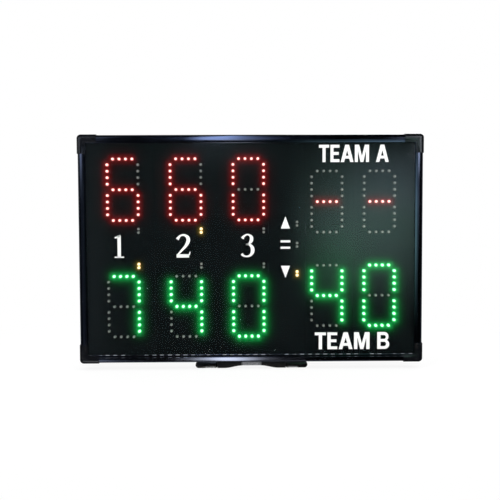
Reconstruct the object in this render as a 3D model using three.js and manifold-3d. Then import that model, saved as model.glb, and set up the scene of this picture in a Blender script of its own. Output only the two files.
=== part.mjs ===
// Portable LED scoreboard for a tennis court: a shallow framed case with ten seven-segment
// digits behind a front window. Millimetres, +X to the right, +Z up, the face towards -Y.
// The origin lies on the wall plane that the hangers and bumpers touch, behind the frame's centre.
import * as THREE from 'three';
import { mergeVertices } from 'three/addons/utils/BufferGeometryUtils.js';
import Module from 'manifold-3d';

const wasm = await Module();
wasm.setup();

// Fits that every piece shares
const fit = 0.3; // gap left between two pieces that seat on each other
const overrun = 1; // how far a cut runs past the face it opens
const sink = 0.2; // how deep a soldered, riveted or screwed piece runs into its carrier

// Case: outer size of the frame, without its corner caps
const frameWidth = 682;
const frameHeight = 452;
const wallGap = 8; // from the wall to the case's rear rim

// Frame extrusion
const faceWidth = 16; // front face, from the outer side to the window
const beadWidth = 8; // outer part of the face, which stands proud of the lip beside the window
const beadChamfer = 0.4;
const lipRecess = 0.8; // how far the lip lies behind the bead
const lipWall = 2; // from the bead's front to the lip's rear
const lipChamfer = 0.5;
const edgeRadius = 6; // rounding of the front outer edge
const sideWall = 1.8;
const rimChamfer = 0.6;
const ribWall = 1.6; // rib behind the window
const ribReach = 12;
const flangeWall = 1.8; // flange that the back panel lies on
const flangeReach = 14;
const mitreGap = 0.2; // each bar stops this far short of the mitre

// Corner keys and the track that holds them
const keyThickness = 3;
const keyWidth = 16;
const keyArm = 32;
const keyChamfer = 2;
const hookWall = 1.4;
const hookOverhang = 2.5;

// Window, LEDs and their boards
const windowThickness = 3;
const windowEntry = 1; // how far the window stays clear of the frame's side wall
const windowCorner = 2;
const ledGap = 1; // window to the tip of an LED
const ledHeight = 8.6;
const ledShoulder = 6.6; // where the dome starts
const ledDiameter = 5;
const ledFlangeDiameter = 5.8;
const ledSides = 6;
const boardThickness = 1.6;
const boardInset = 9; // from the frame's outer side to the edge of the outer boards
const boardGap = 1; // between two boards

// Battery, which sets how deep the case is
const cellDiameter = 18.4;
const cellLength = 65;
const cellCount = 3;
const cellWrap = 0.3;
const wiringGap = 3.9; // from the boards' back to the battery

// Back panel
const panelThickness = 2;

// Digits: seven segments, each a row of LEDs
const ledPitch = 12.7;
const ledsPerSegment = 4;
const cornerStep = 11.3; // from a segment's last LED to the digit's corner
const setColumnShares = [-0.3727, -0.1901, -0.0074]; // of the frame's width
const gameColumnShares = [0.2217, 0.3753];
const homeSetShare = 0.2625; // of the frame's height
const guestSetShare = -0.2531;
const homeGameShare = 0.2073;
const guestGameShare = -0.208;

// Marker lamps: pairs of LEDs at the set digits and in the serve column
const markerGap = 1.2; // between the flanges of a pair
const markerDrop = 20.8; // from a digit's outer row to the middle of its pair
const serveColumnShare = 0.1347;
const serveRowShares = [0.1106, 0.0177, -0.1093];

// Where the boards meet
const centreLeftShare = 0.0515;
const centreRightShare = 0.1588;
const boardSplitShare = 0.0044;

// Hexagonal pillars that carry the LED boards, pressed into the back panel
const pillarRadius = 3;
const pillarMargin = 1; // from a pillar to the frame's flange
const pillarInset = flangeReach - boardInset + pillarRadius + pillarMargin;
const pillarSides = 6;

// Screws that hold the back panel and the corner caps
const screwShankRadius = 1.3;
const screwHeadRadius = 2.9;
const screwHeadHeight = 1.9;
const screwRimHeight = 0.8;
const screwLength = 7;
const shankPlay = 0.4; // round a screw or rivet, in the hole that it passes
const screwHoleRadius = screwShankRadius + shankPlay;
const screwSides = 6;
const holeSides = 8;
const screwInset = 8; // from the frame's outer side
const panelScrewShare = 0.17; // of the frame's width, either side of the middle

// Corner caps
const capWall = 1.1;
const capArm = 38;
const capRadius = 8;
const capFrontEdge = 6; // rounding of the cap's front edge
const capRearEdge = 2;
const capHollowChamfer = 3.4; // inside the front edge
const capReach = 15.4; // how far the cap covers the frame's face
const capScrewFromCorner = 28;
const capArcSteps = 4;
const capFrontSteps = 3;
const capRearSteps = 2;

// Handle
const handleLength = 224;
const handleCapLength = 43;
const handleCapHeight = 13;
const handleCapWidth = 28;
const handleCapFloor = 1.8;
const handleCapEdge = 2.2;
const handleMouthRadius = 3;
const noseRadius = 5.6;
const handleArcSteps = 5;
const landLength = 20; // chamfered stretch under each screw of the handle
const landChamfer = 3.6;
const strapWidth = 22; // of the tongues in the end caps
const strapThickness = 4.2;
const strapMiddleDrop = 8.2; // from the frame down to the underside of the strap's middle
const strapFlat = 38; // level stretch in the middle
const strapArch = 108; // stretch over which the underside arches
const strapPadChamfer = 3; // along the lower edges of the level stretch
const strapEndInset = 9; // from the cap's nose to the strap's end
const strapSteps = 8;
const strapSlotLength = 14;
const strapSlotWidth = 5.8;
const handleScrewInset = 29; // from the cap's nose
const handleShankRadius = 2.2;
const handleHoleRadius = handleShankRadius + shankPlay;
const handleHeadRadius = 4.6;
const handleHeadHeight = 2.6;
const handleHeadRim = 1.2;
const handleBoreRadius = handleHeadRadius + 2 * fit;
const handleBoreDepth = 1.4;
const handleScrewSides = 10;
const nutPlateLength = 26;

// Hangers: bridge brackets with a keyhole
const hangerColumnShare = 0.31; // of the frame's width
const hangerRowShare = 0.33; // of the frame's height
const hangerWall = 1.8;
const hangerWidth = 34;
const hangerBridge = 40;
const hangerFoot = 13;
const keyholeRadius = 5.5;
const keyholeSlotWidth = 5.2;
const keyholeSlotLength = 12;
const keyholeDrop = 7; // from the bridge's middle down to the round hole
const rivetShankRadius = 1.5;
const rivetHoleRadius = rivetShankRadius + shankPlay;
const rivetHeadRadius = 3.3;
const rivetHeadHeight = 1.4;
const rivetTailRadius = 2.4;
const rivetTailHeight = 2.2;
const rivetSides = 6;

// Rubber bumpers below, as deep as the wall gap
const bumperColumnShare = 0.31;
const bumperRowShare = -0.38;
const bumperRadius = 10;
const bumperTaper = 1.2;
const bumperEdge = 1;
const bumperSides = 12;

// Power switch
const switchColumnShare = 0.3;
const connectorRowShare = -0.29;
const switchLength = 19;
const switchWidth = 12.8;
const switchBodyDepth = 14;
const bezelBorder = 1.1;
const bezelHeight = 1.8;
const bezelCorner = 1.6;
const switchWall = 1;
const wellDepth = 8.4;
const rockerEndGap = 0.95;
const rockerSideGap = 0.3;
const pivotDepth = 3.1; // from the bezel's face down to the pivot
const rockerTipHeight = 4.2; // pivot to the tips of the paddles
const rockerWaist = 2.7; // pivot to the dip between the paddles
const rockerSkirt = 2.1;
const rockerKeel = 3;
const rockerTilt = 9; // degrees either side of the middle
const dishSteps = 3;
const pivotRadius = 1;
const pivotHoleRadius = 1.35;
const pivotReach = 0.6;
const pivotSides = 8;
const terminalWidth = 4.8;
const terminalThickness = 0.8;
const terminalLength = 6;
const terminalSpacing = 9;

// Low-voltage socket
const socketColumnShare = 0.36;
const socketBarrelRadius = 5.5;
const socketFlangeRadius = 7.4;
const socketFlangeHeight = 1.9;
const socketFlangeEdge = 0.6;
const socketDepth = 14;
const socketBoreRadius = 3.3;
const socketBoreDepth = 9;
const socketPinRadius = 1.05;
const socketPinShort = 1.4; // how far the pin stays below the flange's face
const socketSides = 12;
const socketNutWidth = 15;
const socketNutHeight = 2.4;

// Control electronics
const controlSpacerHeight = 4;
const controlSpacerRadius = 3;
const controlSpacerInset = 5;
const headerLength = 22;
const headerWidth = 7;
const headerHeight = 8.2;
const headerEdgeInset = 8;
const headerRow = 40; // from the middle of the case, up and down
const headerMargin = 5; // from a header's end to the control board's
const boardHeaderSetback = 24; // from the centre strip to a board's own header
const chipWidth = 7.6;
const chipLength = 15;
const chipHeight = 2.6;
const chipPitch = 19;
const chipCount = 5;
const capacitorRadius = 4;
const capacitorHeight = 8.5;
const capacitorSides = 8;
const linkWidth = 26;
const linkThickness = 6;
const capacitorRow = 16;
const capacitorPitch = 10;
const plugSize = 6;
const plugPitch = 9;
const plugInset = 5;
const receiverColumn = 13; // beside the control board's middle
const receiverDrop = 10;
const receiverStrip = 3;
const receiverCanLength = 14;
const receiverWidth = 13;
const receiverHeight = 30;
const receiverThickness = 1.2;
const receiverLift = 4;
const receiverCanHeight = 1.6;
const antennaRadius = 0.8;
const antennaLength = 20;
const antennaSides = 6;
const ribbonThickness = 0.9;
const ribbonSteps = 6;
const clampWidth = 16;
const clampWall = 1.2;
const clampFoot = 10;
const batteryColumnShare = -0.1904;
const leadRadius = 1.4;
const leadSides = 6;
const leadSteps = 12;
const leadEnd = 6; // how far a lead runs straight out of its piece
const batterySteps = 6;

// The control board is as wide as its headers and receiver need, and as tall as its headers
const controlReach = receiverColumn + (receiverWidth + headerWidth) / 2 + headerEdgeInset;
const controlWidth = 2 * controlReach;
const controlHeight = 2 * headerRow + headerLength + 2 * headerMargin;

// How far the corner caps stand proud, and how much of each bar's end they leave room for
const capSkin = capWall + fit;
const cornerTrim = capRadius - capSkin;

// Depths, counted from the wall plane; the face looks towards -Y
const slotFront = lipWall;
const slotRear = slotFront + windowThickness + 2 * fit;
const ledTipDepth = slotRear - fit + ledGap;
const boardFrontDepth = ledTipDepth + ledHeight;
const boardRearDepth = boardFrontDepth + boardThickness;
const batteryThickness = cellDiameter + 2 * cellWrap;
const panelFrontDepth = boardRearDepth + wiringGap + batteryThickness + fit;
const caseDepth = panelFrontDepth + panelThickness;
const frontY = -(wallGap + caseDepth);
const windowY = frontY + slotFront + fit;
const boardFrontY = frontY + boardFrontDepth;
const boardRearY = frontY + boardRearDepth;
const panelFrontY = frontY + panelFrontDepth;
const panelRearY = -wallGap;

// The frame's section: flange, rib and the key track midway between them
const ribRear = slotRear + ribWall;
const flangeRear = panelFrontDepth - fit;
const flangeFront = flangeRear - flangeWall;
const trackMiddle = (ribRear + flangeFront) / 2;
const trackY = frontY + trackMiddle;
const trackTop = sideWall + keyThickness + 2 * fit;
const trackHalf = keyWidth / 2 + fit;
const handleFloorZ = -frameHeight / 2;

// Digit size, from the LEDs
const digitHalfWidth = ((ledsPerSegment - 1) * ledPitch) / 2 + cornerStep;
const markerPitch = ledFlangeDiameter + markerGap;

// Colours and finishes
const blackMetal = { color: 0x1b1d21, roughness: 0.35, metalness: 0.6 };
const blackPlastic = { color: 0x141518, roughness: 0.45, metalness: 0 };
const smokedSheet = { color: 0x10161a, roughness: 0.08, metalness: 0 };
const blackBoard = { color: 0x0b0e0e, roughness: 0.5, metalness: 0 };
const greenBoard = { color: 0x1d4a2c, roughness: 0.5, metalness: 0 };
const paintedSheet = { color: 0x202225, roughness: 0.55, metalness: 0.2 };
const brightSteel = { color: 0xb4b8bc, roughness: 0.3, metalness: 1 };
const blackRubber = { color: 0x101011, roughness: 0.7, metalness: 0 };
const brass = { color: 0xb79b55, roughness: 0.35, metalness: 1 };
const chipBlack = { color: 0x18181a, roughness: 0.6, metalness: 0 };
const blueWrap = { color: 0x1c4f9c, roughness: 0.4, metalness: 0 };
const greyRibbon = { color: 0x8d9196, roughness: 0.6, metalness: 0 };

const scoreboard = new THREE.Group();

// Adds a named piece to the scoreboard
function addPart(name, geometry, finish) {
  const mesh = new THREE.Mesh(geometry, new THREE.MeshStandardMaterial(finish));
  mesh.name = name;
  scoreboard.add(mesh);
  return mesh;
}

// Block between two corners
function block(lowX, highX, lowY, highY, lowZ, highZ) {
  const geometry = new THREE.BoxGeometry(highX - lowX, highY - lowY, highZ - lowZ);
  return geometry.translate((lowX + highX) / 2, (lowY + highY) / 2, (lowZ + highZ) / 2);
}

// Outline with circular holes, in the plane seen from the front, between two depths
function plateXZ(points, holes, lowY, highY) {
  const shape = new THREE.Shape(points);
  for (const hole of holes) shape.holes.push(new THREE.Path(hole));
  const geometry = new THREE.ExtrudeGeometry(shape, { depth: highY - lowY, bevelEnabled: false });
  return geometry.rotateX(Math.PI / 2).translate(0, highY, 0);
}

// Outline seen from the side, as (y, z) points, between two places along X
function prismYZ(points, lowX, highX) {
  const shape = new THREE.Shape(points);
  const geometry = new THREE.ExtrudeGeometry(shape, { depth: highX - lowX, bevelEnabled: false });
  const turn = new THREE.Matrix4().makeBasis(
    new THREE.Vector3(0, 1, 0),
    new THREE.Vector3(0, 0, 1),
    new THREE.Vector3(1, 0, 0),
  );
  return geometry.applyMatrix4(turn).translate(lowX, 0, 0);
}

// Points of an arc about (middleX, middleY), from one angle to another in degrees
function arc(middleX, middleY, radius, from, to, steps) {
  const points = [];
  for (let i = 0; i <= steps; i += 1) {
    const angle = THREE.MathUtils.degToRad(from + ((to - from) * i) / steps);
    const x = middleX + radius * Math.cos(angle);
    points.push(new THREE.Vector2(x, middleY + radius * Math.sin(angle)));
  }
  return points;
}

// Circle as hole or outline points
function ring(middleX, middleY, radius, sides) {
  const points = arc(middleX, middleY, radius, 180 / sides, 360 + 180 / sides, sides);
  points.pop();
  return points;
}

function rectangle(lowX, highX, lowY, highY) {
  return [
    new THREE.Vector2(lowX, lowY),
    new THREE.Vector2(highX, lowY),
    new THREE.Vector2(highX, highY),
    new THREE.Vector2(lowX, highY),
  ];
}

function pointsOf(pairs) {
  return pairs.map(([x, y]) => new THREE.Vector2(x, y));
}

// Revolves (radius, height) pairs about the Y axis; heights rise from first to last
function revolve(pairs, sides) {
  return new THREE.LatheGeometry(pointsOf(pairs), sides, Math.PI / sides);
}

// Closed mesh to solid and back, for joins and cuts
function solidOf(geometry) {
  const bare = geometry.clone();
  bare.deleteAttribute('normal');
  bare.deleteAttribute('uv');
  const merged = mergeVertices(bare);
  const vertProperties = new Float32Array(merged.attributes.position.array);
  const triVerts = new Uint32Array(merged.index.array);
  return new wasm.Manifold(new wasm.Mesh({ numProp: 3, vertProperties, triVerts }));
}

function geometryOf(solid) {
  const mesh = solid.getMesh();
  const geometry = new THREE.BufferGeometry();
  const positions = new THREE.BufferAttribute(new Float32Array(mesh.vertProperties), 3);
  geometry.setAttribute('position', positions);
  geometry.setIndex(new THREE.BufferAttribute(new Uint32Array(mesh.triVerts), 1));
  return geometry;
}

function cut(geometry, tools) {
  let solid = solidOf(geometry);
  for (const tool of tools) solid = solid.subtract(solidOf(tool));
  return geometryOf(solid);
}

function join(geometry, pieces) {
  return geometryOf(wasm.Manifold.union([geometry, ...pieces].map(solidOf)));
}

// Round cutter along Y, and one along Z
function drillY(x, z, radius, lowY, highY, sides) {
  const drill = new THREE.CylinderGeometry(radius, radius, highY - lowY, sides);
  return drill.translate(x, (lowY + highY) / 2, z);
}

function drillZ(x, y, radius, lowZ, highZ, sides) {
  const drill = new THREE.CylinderGeometry(radius, radius, highZ - lowZ, sides);
  return drill.rotateX(Math.PI / 2).translate(x, y, (lowZ + highZ) / 2);
}

// Section of the frame extrusion: x is the depth behind the lip, y runs from the outer side (0)
// inwards, as a negative number
function frameSection() {
  const inner = -sideWall;
  const hookTop = -(trackTop + hookWall);
  const hookFront = trackMiddle - trackHalf;
  const hookRear = trackMiddle + trackHalf;
  const outline = [
    [0, -(beadWidth - beadChamfer)],
    [beadChamfer, -beadWidth],
    [lipRecess, -beadWidth],
    [lipRecess, -(faceWidth - lipChamfer)],
    [lipRecess + lipChamfer, -faceWidth],
    [lipWall, -faceWidth],
    [lipWall, inner],
    [slotRear, inner],
    [slotRear, -ribReach],
    [ribRear, -ribReach],
    [ribRear, inner],
    [hookFront - hookWall, inner],
    [hookFront - hookWall, hookTop],
    [hookFront + hookOverhang, hookTop],
    [hookFront + hookOverhang, -trackTop],
    [hookFront, -trackTop],
    [hookFront, inner],
    [hookRear, inner],
    [hookRear, -trackTop],
    [hookRear - hookOverhang, -trackTop],
    [hookRear - hookOverhang, hookTop],
    [hookRear + hookWall, hookTop],
    [hookRear + hookWall, inner],
    [flangeFront, inner],
    [flangeFront, -flangeReach],
    [flangeRear, -flangeReach],
    [flangeRear, inner],
    [caseDepth, inner],
    [caseDepth, -rimChamfer],
    [caseDepth - rimChamfer, 0],
  ];
  const round = arc(edgeRadius, -edgeRadius, edgeRadius, 90, 180, handleArcSteps);
  return [...pointsOf(outline), ...round];
}

// One bar of the frame, as it lies along the top edge, with its holes; its ends are mitred, and
// trimmed square at the outer corner, inside the cap
function frameBar(length, screwPlaces, handlePlaces) {
  const half = length / 2;
  const bar = prismYZ(frameSection(), -half, half);
  const places = bar.attributes.position;
  for (let i = 0; i < places.count; i += 1) {
    const inward = places.getZ(i);
    const end = Math.min(half + inward - mitreGap, half - cornerTrim);
    places.setX(i, Math.sign(places.getX(i)) * end);
  }
  const drills = screwPlaces.map((x) => drillY(
    x, -screwInset, screwHoleRadius, flangeFront - overrun, flangeRear + overrun, holeSides,
  ));
  for (const x of handlePlaces) {
    drills.push(drillZ(x, trackMiddle, handleHoleRadius, -sideWall - overrun, overrun, holeSides));
  }
  return cut(bar, drills);
}

// Where the screws sit along the two long bars and in the middle of the short ones
const capScrewX = frameWidth / 2 - capScrewFromCorner;
const panelScrewX = frameWidth * panelScrewShare;
const longBarScrews = [-capScrewX, -panelScrewX, panelScrewX, capScrewX];
const handleScrewX = handleLength / 2 - handleScrewInset;

function addFrame() {
  const halfWidth = frameWidth / 2;
  const halfHeight = frameHeight / 2;
  const top = addPart('frame_top', frameBar(frameWidth, longBarScrews, []), blackMetal);
  top.position.set(0, frontY, halfHeight);
  const low = frameBar(frameWidth, longBarScrews, [-handleScrewX, handleScrewX]);
  const bottom = addPart('frame_bottom', low, blackMetal);
  bottom.rotation.y = Math.PI;
  bottom.position.set(0, frontY, -halfHeight);
  const right = addPart('frame_right', frameBar(frameHeight, [0], []), blackMetal);
  right.rotation.y = Math.PI / 2;
  right.position.set(halfWidth, frontY, 0);
  const left = addPart('frame_left', frameBar(frameHeight, [0], []), blackMetal);
  left.rotation.y = -Math.PI / 2;
  left.position.set(-halfWidth, frontY, 0);
}

// Each corner of the case: its name, the signs of its place, and the turn of its cap
const caseCorners = [
  ['top_right', 1, 1, 0],
  ['bottom_right', 1, -1, 90],
  ['bottom_left', -1, -1, 180],
  ['top_left', -1, 1, 270],
];

// L-shaped keys that hold the mitres together, lying in the track of both bars
function addCornerKeys() {
  const outer = sideWall + fit;
  const inner = outer + keyThickness;
  for (const [place, signX, signZ] of caseCorners) {
    const x = (inset) => signX * (frameWidth / 2 - inset);
    const z = (inset) => signZ * (frameHeight / 2 - inset);
    const outline = [
      [x(outer + keyChamfer), z(outer)],
      [x(outer), z(outer + keyChamfer)],
      [x(outer), z(outer + keyArm)],
      [x(inner), z(outer + keyArm)],
      [x(inner), z(inner)],
      [x(outer + keyArm), z(inner)],
      [x(outer + keyArm), z(outer)],
    ];
    const key = plateXZ(pointsOf(outline), [], trackY - keyWidth / 2, trackY + keyWidth / 2);
    addPart(`corner_key_${place}`, key, brightSteel);
  }
}

// Column with a cap's plan, drawn about the frame's outer corner at (0, 0) of the top right
// corner; its outer sides lie at the given offset, and both its ends are rounded
function capColumn(offset, front, rear, edge, steps) {
  const radius = cornerTrim + offset;
  const far = -(capArm + 2 * capRadius);
  const shape = new THREE.Shape([
    ...arc(offset - radius, offset - radius, radius, 0, 90, capArcSteps),
    ...pointsOf([[far, offset], [far, far], [offset, far]]),
  ]);
  const column = new THREE.ExtrudeGeometry(shape, {
    depth: rear - front - 2 * edge,
    bevelThickness: edge,
    bevelSize: edge,
    bevelOffset: -edge,
    bevelSegments: steps,
  });
  return solidOf(column.rotateX(Math.PI / 2).translate(0, rear - edge, 0));
}

// Moulded corner cap: it wraps the face, with its step, the two outer sides and the rear rim
function cornerCap() {
  const rear = caseDepth + capSkin;
  const far = -(capArm + 2 * capRadius) - overrun;
  const inCorner = (limit, lowY, highY) => solidOf(block(far, limit, lowY, highY, far, limit));
  const past = -capSkin - overrun;
  const beyond = rear + overrun;
  const armEnd = capSkin - capArm;
  const front = capColumn(capSkin, -capSkin, rear + 2 * capFrontEdge, capFrontEdge, capFrontSteps);
  const back = capColumn(capSkin, -capSkin - 2 * capRearEdge, rear, capRearEdge, capRearSteps);
  const hollow = capColumn(fit, -fit, rear + 2 * capHollowChamfer, capHollowChamfer, 1)
    .subtract(inCorner(-(beadWidth + fit), past, lipRecess - fit))
    .subtract(solidOf(block(far, beyond, caseDepth + fit, 2 * beyond, far, beyond)));
  const cap = front.intersect(back)
    .subtract(hollow)
    .subtract(inCorner(-(beadWidth + capSkin), past, lipRecess - capSkin))
    .subtract(inCorner(-capReach, past, beyond))
    .subtract(solidOf(block(far, armEnd, past, beyond, far, beyond)))
    .subtract(solidOf(block(far, beyond, past, beyond, far, armEnd)));
  return geometryOf(cap);
}

// The caps on their corners, each with the screw that runs through its rear into the long bar
function addCornerCaps() {
  for (const [place, signX, signZ, degrees] of caseCorners) {
    const cornerX = (signX * frameWidth) / 2;
    const cornerZ = (signZ * frameHeight) / 2;
    const cap = cornerCap().rotateY(THREE.MathUtils.degToRad(degrees));
    cap.translate(cornerX, frontY, cornerZ);
    const screwX = cornerX - signX * capScrewFromCorner;
    const screwZ = cornerZ - signZ * screwInset;
    const screw = screwShape(panelRearY + fit + capWall, capWall + screwLength);
    addPart(`corner_cap_${place}`, join(cap, [screw.translate(screwX, 0, screwZ)]), blackPlastic);
  }
}

function addWindow() {
  const halfWidth = frameWidth / 2 - sideWall - windowEntry;
  const halfHeight = frameHeight / 2 - sideWall - windowEntry;
  const outline = [];
  for (const [signX, signZ] of [[1, 1], [-1, 1], [-1, -1], [1, -1]]) {
    const corners = [
      [signX * halfWidth, signZ * (halfHeight - windowCorner)],
      [signX * (halfWidth - windowCorner), signZ * halfHeight],
    ];
    if (signX * signZ < 0) corners.reverse();
    outline.push(...corners);
  }
  const sheet = plateXZ(pointsOf(outline), [], windowY, windowY + windowThickness);
  addPart('front_window', sheet, smokedSheet);
}

// One LED, pointing forward from its foot on the board
function ledShape() {
  const flange = ledFlangeDiameter / 2;
  const body = ledDiameter / 2;
  const profile = [[0, -sink], [flange, -sink], [body, ledShoulder], [0, ledHeight]];
  return revolve(profile, ledSides).rotateX(Math.PI);
}

// LED places of a seven-segment digit about its middle
function digitPlaces(middleX, middleZ) {
  const places = [];
  const first = -((ledsPerSegment - 1) * ledPitch) / 2;
  for (let i = 0; i < ledsPerSegment; i += 1) {
    const along = first + i * ledPitch;
    for (const row of [-1, 0, 1]) {
      places.push([middleX + along, middleZ + row * 2 * digitHalfWidth]);
    }
    for (const column of [-1, 1]) {
      for (const half of [-1, 1]) {
        const z = middleZ + half * digitHalfWidth + along;
        places.push([middleX + column * digitHalfWidth, z]);
      }
    }
  }
  return places;
}

function pairPlaces(x, z) {
  return [[x, z - markerPitch / 2], [x, z + markerPitch / 2]];
}

// Edges of the boards, which tile the space behind the window
const boardEdgeX = frameWidth / 2 - boardInset;
const boardEdgeZ = frameHeight / 2 - boardInset;
const centreLeft = frameWidth * centreLeftShare;
const centreRight = frameWidth * centreRightShare;
const splitZ = frameHeight * boardSplitShare;
const pillars = [];

// Populated board: its LEDs soldered on, its header behind, and a pillar near each end
function addBoard(name, [lowX, highX, lowZ, highZ], leds, header) {
  const middleX = (lowX + highX) / 2;
  pillars.push([middleX, lowZ + pillarInset], [middleX, highZ - pillarInset]);
  const edge = boardGap / 2;
  const outline = rectangle(lowX + edge, highX - edge, lowZ + edge, highZ - edge);
  const board = plateXZ(outline, [], boardFrontY, boardRearY);
  const lamps = leds.map(([x, z]) => ledShape().translate(x, boardFrontY, z));
  addPart(name, join(board, [...lamps, ...header]), blackBoard);
}

// Box header on the back of a board, its middle at (x, z)
function boardHeader(x, z) {
  return block(
    x - headerWidth / 2, x + headerWidth / 2, boardRearY - sink, boardRearY + headerHeight,
    z - headerLength / 2, z + headerLength / 2,
  );
}

// Ten digit boards; a set digit's board also holds its pair of marker lamps
function addDigitBoards() {
  const setEdges = [
    -boardEdgeX,
    (frameWidth * (setColumnShares[0] + setColumnShares[1])) / 2,
    (frameWidth * (setColumnShares[1] + setColumnShares[2])) / 2,
    centreLeft,
  ];
  const gameEdges = [
    centreRight,
    (frameWidth * (gameColumnShares[0] + gameColumnShares[1])) / 2,
    boardEdgeX,
  ];
  const rows = [
    ['home', homeSetShare, homeGameShare, splitZ, boardEdgeZ, 1],
    ['guest', guestSetShare, guestGameShare, -boardEdgeZ, splitZ, -1],
  ];
  for (const [team, setShare, gameShare, lowZ, highZ, side] of rows) {
    const setZ = frameHeight * setShare;
    const markerZ = setZ - side * (2 * digitHalfWidth + markerDrop);
    setColumnShares.forEach((share, i) => {
      const x = frameWidth * share;
      const lamps = [...digitPlaces(x, setZ), ...pairPlaces(x + digitHalfWidth, markerZ)];
      const headers = i === setColumnShares.length - 1
        ? [boardHeader(centreLeft - boardHeaderSetback, side * headerRow)] : [];
      const edges = [setEdges[i], setEdges[i + 1], lowZ, highZ];
      addBoard(`${team}_set${i + 1}_board`, edges, lamps, headers);
    });
    ['tens', 'units'].forEach((digit, i) => {
      const lamps = digitPlaces(frameWidth * gameColumnShares[i], frameHeight * gameShare);
      const headers = i === 0
        ? [boardHeader(centreRight + boardHeaderSetback, side * headerRow)] : [];
      const edges = [gameEdges[i], gameEdges[i + 1], lowZ, highZ];
      addBoard(`${team}_game_${digit}_board`, edges, lamps, headers);
    });
  }
}

// Tall strip in the middle with the serve and tie-break lamps
function addServeBoard() {
  const lamps = serveRowShares.flatMap((share) => (
    pairPlaces(frameWidth * serveColumnShare, frameHeight * share)
  ));
  addBoard('serve_board', [centreLeft, centreRight, -boardEdgeZ, boardEdgeZ], lamps, []);
}

// Places on the back panel
const hangerX = frameWidth * hangerColumnShare;
const hangerZ = frameHeight * hangerRowShare;
const rivetReach = hangerBridge / 2 + hangerFoot / 2;
const connectorZ = frameHeight * connectorRowShare;
const switchX = frameWidth * switchColumnShare;
const socketX = frameWidth * socketColumnShare;
const capScrews = caseCorners.map(([, signX, signZ]) => (
  [signX * capScrewX, signZ * (frameHeight / 2 - screwInset)]
));
const panelScrews = [
  ...[-1, 1].flatMap((signX) => [-1, 1].map((signZ) => (
    [signX * panelScrewX, signZ * (frameHeight / 2 - screwInset)]
  ))),
  [frameWidth / 2 - screwInset, 0],
  [screwInset - frameWidth / 2, 0],
];
const rivets = [-hangerX, hangerX].flatMap((x) => (
  [[x, hangerZ - rivetReach], [x, hangerZ + rivetReach]]
));

// Flat sheet with the boards' pillars pressed in and its own screws in place
function addBackPanel() {
  const halfX = frameWidth / 2 - sideWall - fit;
  const halfZ = frameHeight / 2 - sideWall - fit;
  const switchHalf = switchLength / 2 + fit;
  const switchSide = switchWidth / 2 + fit;
  const holes = [
    ...capScrews.map(([x, z]) => ring(x, z, screwHoleRadius, holeSides)),
    ...rivets.map(([x, z]) => ring(x, z, rivetHoleRadius, holeSides)),
    ring(socketX, connectorZ, socketBarrelRadius + 2 * fit, socketSides),
    rectangle(
      switchX - switchSide, switchX + switchSide, connectorZ - switchHalf, connectorZ + switchHalf,
    ),
  ];
  const sheet = plateXZ(rectangle(-halfX, halfX, -halfZ, halfZ), holes, panelFrontY, panelRearY);
  const posts = pillars.map(([x, z]) => (
    drillY(x, z, pillarRadius, boardRearY + fit, panelFrontY + sink, pillarSides)
  ));
  const screws = panelScrews.map(([x, z]) => screwShape(panelRearY, screwLength).translate(x, 0, z));
  addPart('back_panel', join(sheet, [...posts, ...screws]), paintedSheet);
}

// Pan-head screw from behind, its head on the given face and its shank running forward
function screwShape(face, length) {
  return revolve([
    [0, face - length],
    [screwShankRadius, face - length],
    [screwShankRadius, face - sink],
    [screwHeadRadius, face - sink],
    [screwHeadRadius, face + screwRimHeight],
    [0, face + screwHeadHeight],
  ], screwSides);
}

// Bridge bracket with a keyhole: the feet lie on the panel, the bridge touches the wall
function addHangers() {
  const bridge = hangerBridge / 2;
  const end = bridge + hangerFoot;
  const inner = bridge - hangerWall;
  const footRear = panelRearY + fit;
  const footTop = footRear + hangerWall;
  const section = [
    [footRear, -end], [footRear, -inner], [-hangerWall, -inner],
    [-hangerWall, inner], [footRear, inner], [footRear, end],
    [footTop, end], [footTop, bridge], [0, bridge],
    [0, -bridge], [footTop, -bridge], [footTop, -end],
  ].reverse();
  const deep = -hangerWall - overrun;
  const slotTop = keyholeSlotLength - keyholeDrop;
  const slotHalf = keyholeSlotWidth / 2;
  for (const [name, sign] of [['hanger_left', -1], ['hanger_right', 1]]) {
    const bracket = prismYZ(pointsOf(section), -hangerWidth / 2, hangerWidth / 2);
    const cuts = [
      drillY(0, -keyholeDrop, keyholeRadius, deep, overrun, socketSides),
      block(-slotHalf, slotHalf, deep, overrun, -keyholeDrop, slotTop),
      drillY(0, slotTop, slotHalf, deep, overrun, holeSides),
    ];
    const rivetPair = [-1, 1].map((side) => rivetShape().translate(0, 0, side * rivetReach));
    const hanger = join(cut(bracket, cuts), rivetPair);
    addPart(name, hanger.translate(sign * hangerX, 0, hangerZ), brightSteel);
  }
}

// Blind rivet from a hanger's foot through the panel, its tail spread inside
function rivetShape() {
  const seat = panelRearY + fit + hangerWall - sink;
  const tail = panelFrontY - fit;
  return revolve([
    [0, tail - rivetTailHeight],
    [rivetTailRadius, tail - rivetTailHeight / 2],
    [rivetTailRadius, tail],
    [rivetShankRadius, tail],
    [rivetShankRadius, seat],
    [rivetHeadRadius, seat],
    [0, seat + sink + rivetHeadHeight],
  ], rivetSides);
}

function addBumpers() {
  const profile = [
    [0, panelRearY + fit],
    [bumperRadius, panelRearY + fit],
    [bumperRadius - bumperTaper, -bumperEdge],
    [bumperRadius - bumperTaper - bumperEdge, 0],
    [0, 0],
  ];
  for (const [name, sign] of [['bumper_left', -1], ['bumper_right', 1]]) {
    const place = [sign * frameWidth * bumperColumnShare, 0, frameHeight * bumperRowShare];
    addPart(name, revolve(profile, bumperSides).translate(...place), blackRubber);
  }
}

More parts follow.
